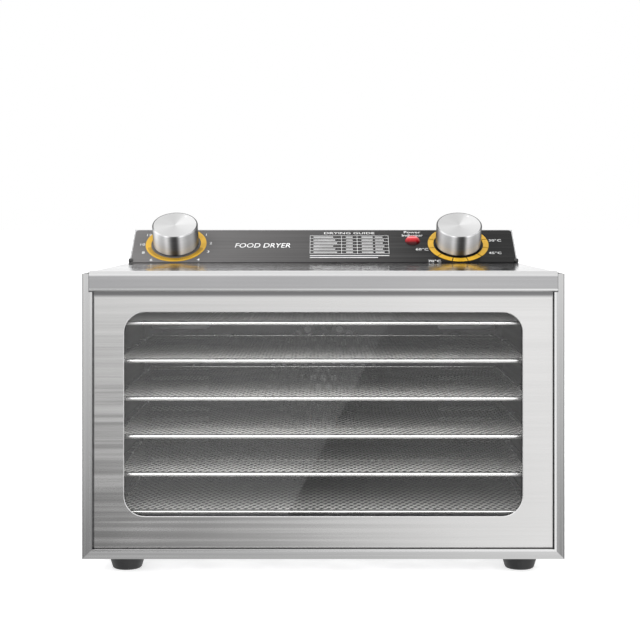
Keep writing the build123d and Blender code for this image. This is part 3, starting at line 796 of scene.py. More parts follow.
def close_and_orient(mesh: bpy.types.Mesh) -> None:
    """Merges doubled points, drops faces with no area and turns faces outwards.

    Args:
        mesh: The mesh, which is changed in place.
    """
    work = bmesh.new()
    work.from_mesh(mesh)
    bmesh.ops.remove_doubles(work, verts=work.verts, dist=WELD)
    bmesh.ops.dissolve_degenerate(work, edges=work.edges, dist=WELD)
    bmesh.ops.recalc_face_normals(work, faces=work.faces)
    work.to_mesh(mesh)
    work.free()


BOX_CORNERS = np.array([
    [0, 0, 0], [1, 0, 0], [1, 1, 0], [0, 1, 0], [0, 0, 1], [1, 0, 1], [1, 1, 1], [0, 1, 1],
])
BOX_FACES = np.array([[3, 2, 1, 0], [4, 5, 6, 7], [0, 1, 5, 4], [1, 2, 6, 5], [2, 3, 7, 6], [3, 0, 4, 7]])


def boxes(corners: np.ndarray) -> Surface:
    """Closed boxes, each from its eight corners in the order of BOX_CORNERS.

    Args:
        corners: The places, as boxes by eight by three.

    Returns:
        The boxes as one surface.
    """
    shift = len(BOX_CORNERS) * np.arange(len(corners))[:, None, None]
    return Surface(corners.reshape(-1, 3), (BOX_FACES[None] + shift).reshape(-1, 4))


def turned(profile: np.ndarray, plane: "PanelPlane", centre: np.ndarray,
           segments: int = 96) -> Surface:
    """A profile turned about an axis that stands on the panel.

    Point (i, j) lies at the profile's i-th radius, turned by j / segments of a full
    turn, and stands at its i-th height along the panel's normal.

    Args:
        profile: Radius and height of each profile point, in metres.
        plane: The panel that the axis stands on.
        centre: The axis' foot, as x across and s up the slope.
        segments: Number of points round the axis.

    Returns:
        The turned surface, with a map of turn and distance along the profile.
    """
    angle = math.tau * np.arange(segments) / segments
    radius = profile[:, 0:1]
    across = centre[0] + radius * np.cos(angle)
    slope = centre[1] + radius * np.sin(angle)
    height = np.broadcast_to(profile[:, 1:2], across.shape)
    points = plane.points(across, slope, height).reshape(-1, 3)
    faces = grid_faces(len(profile), segments, False, True)
    run = np.concatenate([[0.0], np.cumsum(np.hypot(*np.diff(profile, axis=0).T))])
    row = np.repeat(np.arange(len(profile) - 1), segments)
    column = np.tile(np.arange(segments), len(profile) - 1)
    turn = np.stack([column, column + 1, column + 1, column], axis=-1) / segments
    along = np.stack([run[row], run[row], run[row + 1], run[row + 1]], axis=-1) / run[-1]
    return Surface(points, faces, np.stack([turn, along], axis=-1).reshape(-1, 2))


def rounded_corner(centre: tuple[float, float], radius: float, start: float, end: float,
                   count: int = 5) -> np.ndarray:
    """Points on an arc: the centre plus the radius at evenly spaced angles in degrees."""
    angle = np.radians(np.linspace(start, end, count))
    return np.stack([centre[0] + radius * np.cos(angle), centre[1] + radius * np.sin(angle)], axis=-1)


def dress(finish: Finish, *nodes: str) -> None:
    """Gives CAD nodes a finish.

    Args:
        finish: The finish.
        nodes: Names of the nodes that get it.
    """
    made = finish.material()
    for name in nodes:
        target = frame["nodes"][name]
        if not target.material_slots:
            target.data.materials.append(made)
        for slot in target.material_slots:
            slot.material = made
        LOG.info("%s: finish %s", name, finish.name)


# ---------------------------------------------------------------- finishes

CASE = BrushedSteel("case_steel_brushed", (0.66, 0.66, 0.67), 0.27, BrushAxis.DEEP)
BACK = BrushedSteel("back_steel_brushed", (0.66, 0.66, 0.67), 0.3, BrushAxis.ACROSS)
TOP = BrushedSteel("top_steel_fine", (0.62, 0.62, 0.63), 0.1, BrushAxis.ACROSS, 0.04, 0.00006)
# The door's sheet carries painted shade at its side and foot seams and a painted shadow under the grip.
DOOR = SteelWithPaintedSeamShade("door_steel_painted_seam_shade", (0.74, 0.735, 0.73), 0.17, BrushAxis.ACROSS, 0.05)
DOOR_BACK = BrushedSteel("door_back_steel", (0.62, 0.62, 0.62), 0.3, BrushAxis.ACROSS)
# The grip's rolled crest and hem carry painted highlights.
GRIP = RolledSteelPaintedHighlight("grip_steel_painted_highlight", (0.45, 0.45, 0.455), 0.17, BrushAxis.ACROSS, 0.05)
# The posts carry painted shade along their outer edges; their foot and brow seams are set out of reach.
SURROUND_UPRIGHT = SteelWithPaintedSeamShade(
    "surround_steel_upright_painted_edge_shade", (0.80, 0.80, 0.80), 0.17, BrushAxis.UPRIGHT, 0.06,
    side=0.1695, foot=-1.0, brow=9.0,
)
SURROUND_ACROSS = BrushedSteel("surround_steel_across", (0.82, 0.82, 0.82), 0.17, BrushAxis.ACROSS, 0.06)
# The liner and the baffle are far darker than the case's steel: painted shade for the dim inside of the
# chamber.
LINER = BrushedSteel("liner_steel_painted_shade", (0.13, 0.13, 0.13), 0.42, BrushAxis.DEEP, 0.12)
BAFFLE = BrushedSteel("baffle_steel_painted_shade", (0.11, 0.11, 0.112), 0.42, BrushAxis.ACROSS, 0.12)
CUT_EDGE = PolishedMetal("cut_edge_bright", (0.92, 0.92, 0.92), 0.12)
RIM = PolishedMetal("rim_wire_bright", (0.86, 0.86, 0.85), 0.22)
# The strands carry painted shade towards the back of the tray.
MESH = StrandMetalPaintedShade("mesh_strand_steel_painted_shade", (0.97, 0.96, 0.94), 0.45, 900.0, 0.15)
FASTENER = PolishedMetal("fastener_plated", (0.62, 0.62, 0.6), 0.25)
SHAFT = PolishedMetal("shaft_ground", (0.6, 0.6, 0.6), 0.18)
BRACKET = PolishedMetal("bracket_zinc", (0.5, 0.51, 0.5), 0.38, 200.0)
FAN_METAL = PolishedMetal("fan_aluminium_pressed", (0.78, 0.78, 0.79), 0.33)
PIN = PolishedMetal("pin_brass_plated", (0.8, 0.62, 0.32), 0.22)
HEATER = PolishedMetal("heater_sheath_dark", (0.22, 0.19, 0.17), 0.4)
# The knob's side carries a painted reflection: a dark band at its front between bright bands, on a barely
# metallic side.
KNOB_SIDE = SpunMetalPaintedSheen("knob_side_painted_reflection", (0.86, 0.86, 0.865), 0.3, 0.02, (
    (0.0, 0.0), (0.525, 0.0), (0.56, 0.25), (0.605, 1.0), (0.642, 0.6), (0.68, 0.5), (0.7, 1.0),
    (0.72, 0.4), (0.737, 0.04), (0.765, 0.0), (0.782, 0.1), (0.8, 1.0), (0.824, 0.65), (0.858, 0.42),
    (0.9, 0.6), (0.93, 0.15), (0.972, 0.0),
), 240.0, 0.12)
# The knob's top carries painted highlights: wedges of sheen round its spun face.
KNOB_TOP = SpunMetalPaintedSheen("knob_top_painted_sheen", (0.92, 0.92, 0.92), 0.32, 0.6, (
    (0.0, 0.8), (0.04, 0.95), (0.12, 1.0), (0.17, 0.9), (0.21, 0.4), (0.3, 0.2), (0.4, 0.45),
    (0.47, 0.3), (0.55, 0.7), (0.64, 0.4), (0.75, 0.3), (0.86, 0.6), (1.0, 0.8),
))
# The fascia carries a painted reflection, grey at its left end.
FASCIA = FasciaPaintedReflection("fascia_black_painted_reflection", (0.006, 0.006, 0.006), 0.16)
BLACK_PLASTIC = MouldedPlastic("black_plastic_moulded", (0.02, 0.02, 0.02), 0.35)
SWITCH_PLASTIC = MouldedPlastic("switch_plastic_moulded", (0.10, 0.09, 0.08), 0.45)
WHITE_PLASTIC = MouldedPlastic("terminal_plastic_white", (0.72, 0.70, 0.64), 0.45)
FOOT_RUBBER = MouldedPlastic("foot_rubber_matt", (0.018, 0.018, 0.019), 0.5, 500.0, 0.00008)
GASKET_RUBBER = MouldedPlastic("gasket_rubber_matt", (0.03, 0.03, 0.03), 0.6)
GLASS = ClearPane("door_glass_clear", (1.0, 1.0, 1.0), 0.0)
# The lamp's lens carries a painted highlight near its crown and painted shade at its rim.
LAMP = LampPlasticPaintedLight("lamp_red_painted_highlight", (0.72, 0.02, 0.03), 0.12)
WHITE_INK = PrintedInk("print_white", (0.85, 0.85, 0.85), 0.5)
GOLD = PrintedInk("scale_gold_foil", (0.76, 0.44, 0.03), 0.42, 0.2)
TICK_INK = PrintedInk("scale_tick_brown", (0.05, 0.015, 0.006), 0.5)
LAMINATION = WoundWire("lamination_stack", (0.14, 0.14, 0.15), 0.45, (0.0, 2200.0, 0.0))
COPPER = WoundWire("coil_copper_wound", (0.62, 0.27, 0.12), 0.3, (0.0, 1500.0, 0.0))


# ---------------------------------------------------------------- the panel's plane


@dataclass(frozen=True)
class PanelPlane:
    """The sloped control panel, read from the timer's joint and the top cover.

    Attributes:
        fold: The middle of the panel's lower edge.
        slope: Unit direction up the panel.
        normal: Unit direction out of the panel.
    """

    fold: np.ndarray
    slope: np.ndarray
    normal: np.ndarray

    @classmethod
    def from_frame(cls) -> "PanelPlane":
        """Works the plane out from the joint's axis, which points into the panel.

        Returns:
            The plane.
        """
        joint = find_joint("timer_turn")
        normal = -np.array(joint["axis"], float)
        normal /= np.linalg.norm(normal)
        slope = np.cross(normal, (1.0, 0.0, 0.0))
        dial = np.array(joint["pos_m"], float)
        fold_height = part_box("top_cover")[1].z
        fold = dial - slope * (dial[2] - fold_height) / slope[2]
        fold[0] = 0.0
        return cls(fold, slope, normal)

    def points(self, across: np.ndarray, slope: np.ndarray, height: np.ndarray) -> np.ndarray:
        """Places on or above the panel.

        Each is the fold, plus across along X, plus the slope's and the normal's
        shares.

        Args:
            across: Distances along X from the middle.
            slope: Distances up the slope from the fold.
            height: Distances out of the panel.

        Returns:
            The places, with a last axis of three.
        """
        sideways = np.asarray(across)[..., None] * np.array([1.0, 0.0, 0.0])
        upward = np.asarray(slope)[..., None] * self.slope
        outward = np.asarray(height)[..., None] * self.normal
        return self.fold + sideways + upward + outward

    def foot(self, joint_name: str) -> np.ndarray:
        """Where a control's axis meets the panel, as x across and s up the slope."""
        place = np.array(find_joint(joint_name)["pos_m"], float)
        return np.array([place[0], float((place - self.fold) @ self.slope)])

    def heights(self, node: str) -> tuple[float, float]:
        """How far a CAD node's corners stand out of the panel.

        Args:
            node: The node's name.

        Returns:
            The lowest and the highest distance.
        """
        mesh = frame["nodes"][node].data
        corners = np.empty(3 * len(mesh.vertices), np.float32)
        mesh.vertices.foreach_get("co", corners)
        out = (corners.reshape(-1, 3) - self.fold) @ self.normal
        return float(out.min()), float(out.max())


def find_joint(name: str) -> dict:
    """The frame's joint of that name."""
    return next(joint for joint in frame["joints"] if joint["name"] == name)


# ---------------------------------------------------------------- sub-assemblies


@dataclass
class Case:
    """The steel case: surround, walls, liner and feet, all kept from the frame."""

    def build(self) -> None:
        """Gives every node of the case its finish."""
        dress(SURROUND_UPRIGHT, "front_post_left", "front_post_right")
        dress(SURROUND_ACROSS, "front_sill")
        dress(CASE, "side_panel_left", "side_panel_right", "base_pan")
        dress(BACK, "back_panel", "control_housing")
        dress(TOP, "top_cover")
        dress(LINER, "chamber_floor", "chamber_ceiling", "rack_left", "rack_right")
        dress(BAFFLE, "fan_baffle")
        dress(FASTENER, "case_screws", "foot_screws", "control_nuts")
        dress(FOOT_RUBBER, "rubber_feet")
        dress(BLACK_PLASTIC, "power_inlet", "fascia_end_clips", "thermal_cutout")
        dress(PIN, "inlet_pins")
        dress(WHITE_PLASTIC, "terminal_block")


@dataclass
class AirSystem:
    """The fan, its motor and the ring heater in the rear bay."""

    def build(self) -> None:
        """Gives every node of the rear bay its finish."""
        dress(FAN_METAL, "fan_impeller")
        dress(SHAFT, "motor_shaft")
        dress(LAMINATION, "motor_stator", "motor_rotor")
        dress(COPPER, "motor_coil")
        dress(BRACKET, "motor_bracket", "heater_clips")
        dress(HEATER, "heater_element")


@dataclass
class Door:
    """The lift-up door and the bright edge round its window.

    Attributes:
        corner_radius: Radius of the window's corners.
        edge_radius: Radius of the small rolled edge round the window.
        pane_overlap: How far the glass reaches past the window, all round.
    """

    corner_radius: float = 15.0 * MM
    edge_radius: float = 0.55 * MM
    pane_overlap: float = 8.5 * MM

    def build(self) -> None:
        """Dresses the door and adds the window's edge."""
        dress(DOOR, "door_panel")
        dress(DOOR_BACK, "glass_retainer")
        dress(GRIP, "door_grip")
        dress(GLASS, "door_glass")
        dress(GASKET_RUBBER, "glass_gasket")
        dress(FASTENER, "retainer_nuts")
        build_piece("window_edge", self.window_edge(), [CUT_EDGE], "door", 60.0)

    def window_outline(self) -> np.ndarray:
        """The window's outline, the glass's own less its overlap.

        It is four quarter circles, joined by straight runs.

        Returns:
            The outline's points, as x and z.
        """
        low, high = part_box("door_glass")
        half = high.x - self.pane_overlap
        bottom, top = low.z + self.pane_overlap, high.z - self.pane_overlap
        radius = self.corner_radius
        corners = [
            (half - radius, top - radius, 0.0),
            (-half + radius, top - radius, 90.0),
            (-half + radius, bottom + radius, 180.0),
            (half - radius, bottom + radius, 270.0),
        ]
        arcs = [rounded_corner((x, z), radius, turn, turn + 90.0, 13) for x, z, turn in corners]
        return np.concatenate(arcs)

    def window_edge(self) -> Surface:
        """A round bead carried along the window's outline.

        At each outline point the bead's circle lies in the plane of the outline's
        outward normal and the depth axis.

        Returns:
            The bead.
        """
        outline = self.window_outline()
        ahead = np.roll(outline, -1, axis=0) - np.roll(outline, 1, axis=0)
        outward = np.stack([ahead[:, 1], -ahead[:, 0]], axis=-1)
        outward /= np.linalg.norm(outward, axis=1, keepdims=True)
        turn = math.tau * np.arange(10) / 10
        radius = self.edge_radius
        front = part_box("door_panel")[0].y + radius
        side = radius * np.cos(turn)[None, :, None] * outward[:, None, :]
        flat = outline[:, None, :] + side
        depth = np.broadcast_to(front + radius * np.sin(turn), flat.shape[:2])
        points = np.stack([flat[..., 0], depth, flat[..., 1]], axis=-1).reshape(-1, 3)
        return Surface(points, grid_faces(len(outline), len(turn), True, True))


@dataclass
class MeshTray:
    """One tray: its bright rim from the frame and its mesh made here.

    Attributes:
        number: The tray's number, from 1 at the bottom.
        cell_width: Pitch of the openings from side to side.
        cell_depth: Pitch of the openings from front to back.
        strand_width: Width of a strand, seen from above.
        strand_height: Height of a strand.
        lift: How far a strand rises and dips where it meets its neighbours.
        end_gap: From a strand's end to the edge of the sheet that it replaces.
        stops: Cross-sections of a strand in each depth pitch.
    """

    number: int
    cell_width: float = 5.5 * MM
    cell_depth: float = 12.5 * MM
    strand_width: float = 1.5 * MM
    strand_height: float = 0.45 * MM
    lift: float = 0.12 * MM
    end_gap: float = 0.2 * MM
    stops: int = 6

    def build(self) -> None:
        """Dresses the rim and replaces the plain mesh sheet."""
        dress(RIM, f"tray_frame_{self.number}")
        piece = build_piece(
            f"tray_mesh_strands_{self.number}", self.strands(), [MESH], f"tray_{self.number}", 20.0
        )
        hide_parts(f"tray_mesh_{self.number}")

    def strands(self) -> Surface:
        """Expanded metal as zigzag strands that run from front to back.

        Strand k is centred k half-cells from the left and swings a quarter cell
        either way, the opposite way to its neighbours, so that they touch at every
        half depth pitch. The swing is the cosine of the depth at six stops a pitch,
        which gives slanted sides with short flats where strands meet. The height
        follows the same swing, so one strand rises where the next dips.

        Returns:
            All the strands as one surface.
        """
        low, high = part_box(f"tray_mesh_{self.number}")
        strand_count = int((high.x - low.x) / (self.cell_width / 2)) - 1
        pitch_count = int((high.y - low.y) / self.cell_depth)
        stops = self.stops * pitch_count + 1
        depth = np.linspace(low.y + self.end_gap, high.y - self.end_gap, stops)
        swing = np.cos(math.tau * np.arange(stops) / self.stops)
        number = np.arange(strand_count)
        side = np.where(number % 2 == 0, 1.0, -1.0)
        middle = (low.x + high.x) / 2 + (number - (strand_count - 1) / 2) * self.cell_width / 2
        centre_x = middle[:, None] + side[:, None] * swing[None, :] * self.cell_width / 4
        centre_z = (low.z + high.z) / 2 + side[:, None] * swing[None, :] * self.lift
        corner_x = np.array([-1.0, 1.0, 1.0, -1.0]) * self.strand_width / 2
        corner_z = np.array([-0.6, -1.0, 0.6, 1.0]) * self.strand_height / 2
        x = centre_x[..., None] + corner_x
        z = centre_z[..., None] + corner_z
        y = np.broadcast_to(depth[None, :, None], x.shape)
        points = np.stack([x, y, z], axis=-1).reshape(-1, 3)
        tube = grid_faces(stops, 4, False, True)
        last = 4 * (stops - 1)
        ends = np.array([[0, 1, 2, 3], [last + 3, last + 2, last + 1, last]])
        strand = np.concatenate([tube, ends])
        shift = (4 * stops * number)[:, None, None]
        return Surface(points, (strand[None] + shift).reshape(-1, 4))


@dataclass
class Knob:
    """A turned knob with a spun top and a polished side, on its own axis.

    Attributes:
        control: The body that it turns with; its node and joint share the stem.
        stem: The start of its node's and its joint's names.
        plane: The panel that it stands on.
        pointer_angle: Where its pointer stands, clockwise from up, in degrees.
        pointer_radius: The pointer's own radius.
        edge: Radius of its rounded edges.
        wall: Thickness of its top and its skirt.
        dish: How far the top's middle lies below its edge.
        groove_inset: From the side to the fine groove round the top.
        groove_depth: How deep that groove is.
        hub_radius: Outer radius of the hub inside.
        hub_lift: From the skirt's edge to the hub's.
        bore_radius: Radius of the hub's bore.
    """

    control: str
    stem: str
    plane: PanelPlane
    pointer_angle: float = 33.0
    pointer_radius: float = 1.05 * MM
    edge: float = 1.05 * MM
    wall: float = 2.2 * MM
    dish: float = 0.25 * MM
    groove_inset: float = 1.3 * MM
    groove_depth: float = 0.06 * MM
    hub_radius: float = 6.0 * MM
    hub_lift: float = 4.0 * MM
    bore_radius: float = 3.05 * MM

    def build(self) -> None:
        """Makes the knob and its pointer, and hides the plain one."""
        self.foot = self.plane.foot(f"{self.stem}_turn")
        node = f"{self.stem}_knob"
        low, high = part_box(node)
        self.radius = (high.x - low.x) / 2
        self.bottom, self.top = self.plane.heights(node)
        profile, top_rows = self.profile()
        surface = turned(profile, self.plane, self.foot)
        segments = len(surface.faces) // (len(profile) - 1)
        rows = np.repeat(np.arange(len(profile) - 1), segments)
        surface.groups = np.where(rows < top_rows, 0, 1)
        piece = build_piece(f"{self.stem}_knob_turned", surface, [KNOB_TOP, KNOB_SIDE], self.control, 40.0)
        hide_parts(node)
        build_piece(f"{self.stem}_knob_pointer", self.pointer(), [WHITE_INK], self.control)

    def profile(self) -> tuple[np.ndarray, int]:
        """Radius and height of the knob's section, from the top's middle round to its inside.

        Returns:
            The profile, and how many of its first rows are the spun top.
        """
        radius, top, bottom = self.radius, self.top, self.bottom
        ring = radius - self.groove_inset
        inner = radius - self.wall
        under = top - self.wall
        spun = np.linspace(0.0, ring, 14)
        dish = top - self.dish * (1 - (spun / ring) ** 2)
        crown = np.stack([spun, dish], axis=-1)
        groove = np.array([
            [ring + self.groove_depth, top - self.groove_depth],
            [ring + 0.16 * MM, top - self.groove_depth],
            [ring + 0.16 * MM + self.groove_depth, top],
        ])
        edge = rounded_corner((radius - self.edge, top - self.edge), self.edge, 90.0, 0.0)
        skirt = rounded_corner((radius - self.edge, bottom + self.edge), self.edge, 0.0, -90.0)
        inside = np.array([
            [inner, bottom],
            [inner, under],
            [self.hub_radius, under],
            [self.hub_radius, bottom + self.hub_lift],
            [self.bore_radius, bottom + self.hub_lift],
            [self.bore_radius, under],
            [0.0, under],
        ])
        return np.concatenate([crown, groove, edge, skirt, inside]), len(crown)

    def pointer(self) -> Surface:
        """A small round spot of ink near the knob's edge.

        Returns:
            The spot.
        """
        angle = math.radians(90.0 - self.pointer_angle)
        reach = 0.8 * self.radius
        centre = self.foot + reach * np.array([math.cos(angle), math.sin(angle)])
        top, radius = self.top, self.pointer_radius
        profile = np.array([
            [0.0, top], [radius - 0.15 * MM, top], [radius, top - 0.12 * MM],
            [radius, top - 0.52 * MM], [0.0, top - 0.52 * MM],
        ])
        return turned(profile, self.plane, centre, 24)


@dataclass
class PanelPrint:
    """Everything printed on the sloped panel: plain words, dial figures and a table.

    Attributes:
        plane: The panel.
        height: How far the print stands out of the panel's steel.
        thickness: The print's own thickness.
        tick_width: Width of a tick on the timer's ring.
        rule_width: Width of the table's rules.
        entry_height: Height of the bars that stand for the table's wording.
    """

    plane: PanelPlane
    height: float = 0.84 * MM
    thickness: float = 0.05 * MM
    tick_width: float = 0.6 * MM
    rule_width: float = 0.28 * MM
    entry_height: float = 1.0 * MM

    def words(self, name: str, text: str, x: float, s: float, size: float,
              width: float = 1.0, slant: float = 0.0) -> None:
        """Sets a line of plain lettering flat on the panel.

        The letters' own x and y become distances across and up the slope.

        Args:
            name: The piece's name.
            text: What it says.
            x: Its middle, across.
            s: Its middle, up the slope.
            size: The height of its capitals' body.
            width: How much wider than the plain face it is.
            slant: How far the letters lean.
        """
        curve = bpy.data.curves.new(name, "FONT")
        curve.body = text
        curve.size = size
        curve.shear = slant
        curve.align_x, curve.align_y = "CENTER", "CENTER"
        curve.extrude = self.thickness / 2
        curve.resolution_u = 3
        source = add_object(name, curve)
        mesh = bpy.data.meshes.new_from_object(source)
        bpy.data.objects.remove(source)
        flat = np.empty(3 * len(mesh.vertices), np.float32)
        mesh.vertices.foreach_get("co", flat)
        flat = flat.reshape(-1, 3)
        height = self.height + self.thickness / 2 + flat[:, 2]
        placed = self.plane.points(x + flat[:, 0] * width, s + flat[:, 1], height)
        mesh.vertices.foreach_set("co", placed.astype(np.float32).ravel())
        mesh.update()
        close_and_orient(mesh)
        mesh.name = name
        mesh.materials.clear()
        mesh.materials.append(WHITE_INK.material())
        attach(add_object(name, mesh), "cabinet")
        LOG.info("%s: %d faces", name, len(mesh.polygons))

    def bars(self, rectangles: np.ndarray) -> Surface:
        """Thin flat bars on the panel, as closed boxes.

        Args:
            rectangles: Low x, high x, low s and high s of each bar, one row each.

        Returns:
            The bars as one surface.
        """
        across = rectangles[:, BOX_CORNERS[:, 0]]
        slope = rectangles[:, 2 + BOX_CORNERS[:, 1]]
        out = np.broadcast_to(self.height + BOX_CORNERS[:, 2] * self.thickness, across.shape)
        return boxes(self.plane.points(across, slope, out))

    def guide_table(self) -> None:
        """A ruled table with rows of short bars in place of wording."""
        left, right, low, high = -12 * MM, 58 * MM, 13 * MM, 41.4 * MM
        line, entry = self.rule_width / 2, self.entry_height / 2
        columns = np.array([left, 16 * MM, 30 * MM, right])
        rows = np.linspace(low, high, 7)
        ruled = [[left, right, s - line, s + line] for s in rows]
        ruled += [[x - line, x + line, low, high] for x in columns]
        entries = []
        for number in range(len(rows) - 1):
            middle = (rows[number] + rows[number + 1]) / 2
            spans = [(left + 3 * MM, 12 * MM - 1.7 * MM * (number % 3)), (20 * MM, 26 * MM)]
            spans += [(34 * MM, 44 * MM), (46 * MM, 54 * MM - 1.2 * MM * (number % 2))]
            entries += [[start, end, middle - entry, middle + entry] for start, end in spans]
        notes = [[left, right, 9.6 * MM, 10.5 * MM], [left, 48 * MM, 6.6 * MM, 7.5 * MM]]
        build_piece("guide_table_lines", self.bars(np.array(ruled)), [WHITE_INK], "cabinet")
        build_piece("guide_table_entries", self.bars(np.array(entries + notes)), [WHITE_INK], "cabinet")
        self.words("guide_table_title", "DRYING GUIDE", (left + right) / 2, 45.2 * MM, 4.4 * MM, 1.5)

    def figures(self, name: str, dial: np.ndarray, labels: list[tuple[str, float]], radius: float,
                size: float) -> None:
        """Figures round a dial.

        Args:
            name: The start of the pieces' names.
            dial: The dial's middle, as x across and s up the slope.
            labels: Each figure and its angle, clockwise from up, in degrees.
            radius: How far from the middle they stand.
            size: Their height.
        """
        for number, (text, clock) in enumerate(labels, start=1):
            angle = math.radians(90.0 - clock)
            x = dial[0] + radius * math.cos(angle)
            s = dial[1] + radius * math.sin(angle)
            self.words(f"{name}_{number}", text, x, s, size, 1.15)

    def ticks(self, dial: np.ndarray, radius: float, length: float, clocks: np.ndarray) -> None:
        """Fine dark lines across the timer's gold ring, each along its own radius.

        Args:
            dial: The dial's middle.
            radius: Where the lines start.
            length: How long they are.
            clocks: The lines' angles, clockwise from up, in degrees.
        """
        angle = np.radians(90.0 - clocks)[:, None]
        reach = radius + length * BOX_CORNERS[:, 0]
        side = self.tick_width * (BOX_CORNERS[:, 1] - 0.5)
        out = self.plane.heights("timer_scale_ring")[1] + self.thickness * BOX_CORNERS[:, 2]
        across = dial[0] + reach * np.cos(angle) - side * np.sin(angle)
        slope = dial[1] + reach * np.sin(angle) + side * np.cos(angle)
        places = self.plane.points(across, slope, np.broadcast_to(out, across.shape))
        build_piece("timer_scale_ticks", boxes(places), [TICK_INK], "cabinet")


@dataclass
class ControlPanel:
    """The sloped panel: fascia, scales, lamp, knobs and print."""

    def build(self) -> None:
        """Dresses the panel's nodes, then makes the knobs and the print."""
        plane = PanelPlane.from_frame()
        dress(FASCIA, "control_fascia")
        dress(GOLD, "timer_scale_ring", "temperature_scale_ring")
        dress(SWITCH_PLASTIC, "timer_body", "thermostat_body", "indicator_holder")
        dress(SHAFT, "timer_shaft", "temperature_shaft")
        dress(replace(LAMP, crown=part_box("indicator_lens")[1].z), "indicator_lens")
        Knob("timer_control", "timer", plane).build()
        Knob("temperature_control", "temperature", plane).build()
        self.print_panel(plane)

    def print_panel(self, plane: PanelPlane) -> None:
        """Prints the words, the figures, the ticks and the table.

        Args:
            plane: The panel.
        """
        ink = PanelPrint(plane)
        timer = plane.foot("timer_turn")
        temperature = plane.foot("temperature_turn")
        lamp_low, lamp_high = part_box("indicator_lens")
        lamp_x = (lamp_low.x + lamp_high.x) / 2
        ink.words("panel_title", "FOOD DRYER", -54.6 * MM, 25.5 * MM, 9.8 * MM, 0.82, 0.2)
        ink.words("lamp_label_upper", "Power", lamp_x, 46.6 * MM, 5.0 * MM, 1.15)
        ink.words("lamp_label_lower", "Indicator", lamp_x, 41.6 * MM, 5.0 * MM, 1.05)
        hours = [("12", 302.0), ("10", 272.0), ("8", 248.0), ("6", 222.0),
                 ("1", 57.0), ("2", 84.0), ("3", 109.0), ("4", 137.0)]
        figure_offset = np.array([0.4 * MM, -2.0 * MM])
        ink.figures("timer_figure", timer + figure_offset, hours, 30.6 * MM, 4.8 * MM)
        degrees = [("30°C", 77.0), ("45°C", 111.0), ("60°C", 259.0), ("70°C", 223.0)]
        ink.figures("temperature_figure", temperature + figure_offset, degrees, 33.6 * MM, 4.8 * MM)
        low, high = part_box("timer_scale_ring")
        outer = (high.x - low.x) / 2
        ink.ticks(timer, outer - 5.2 * MM, 3.6 * MM, np.linspace(106.0, 254.0, 38))
        ink.guide_table()


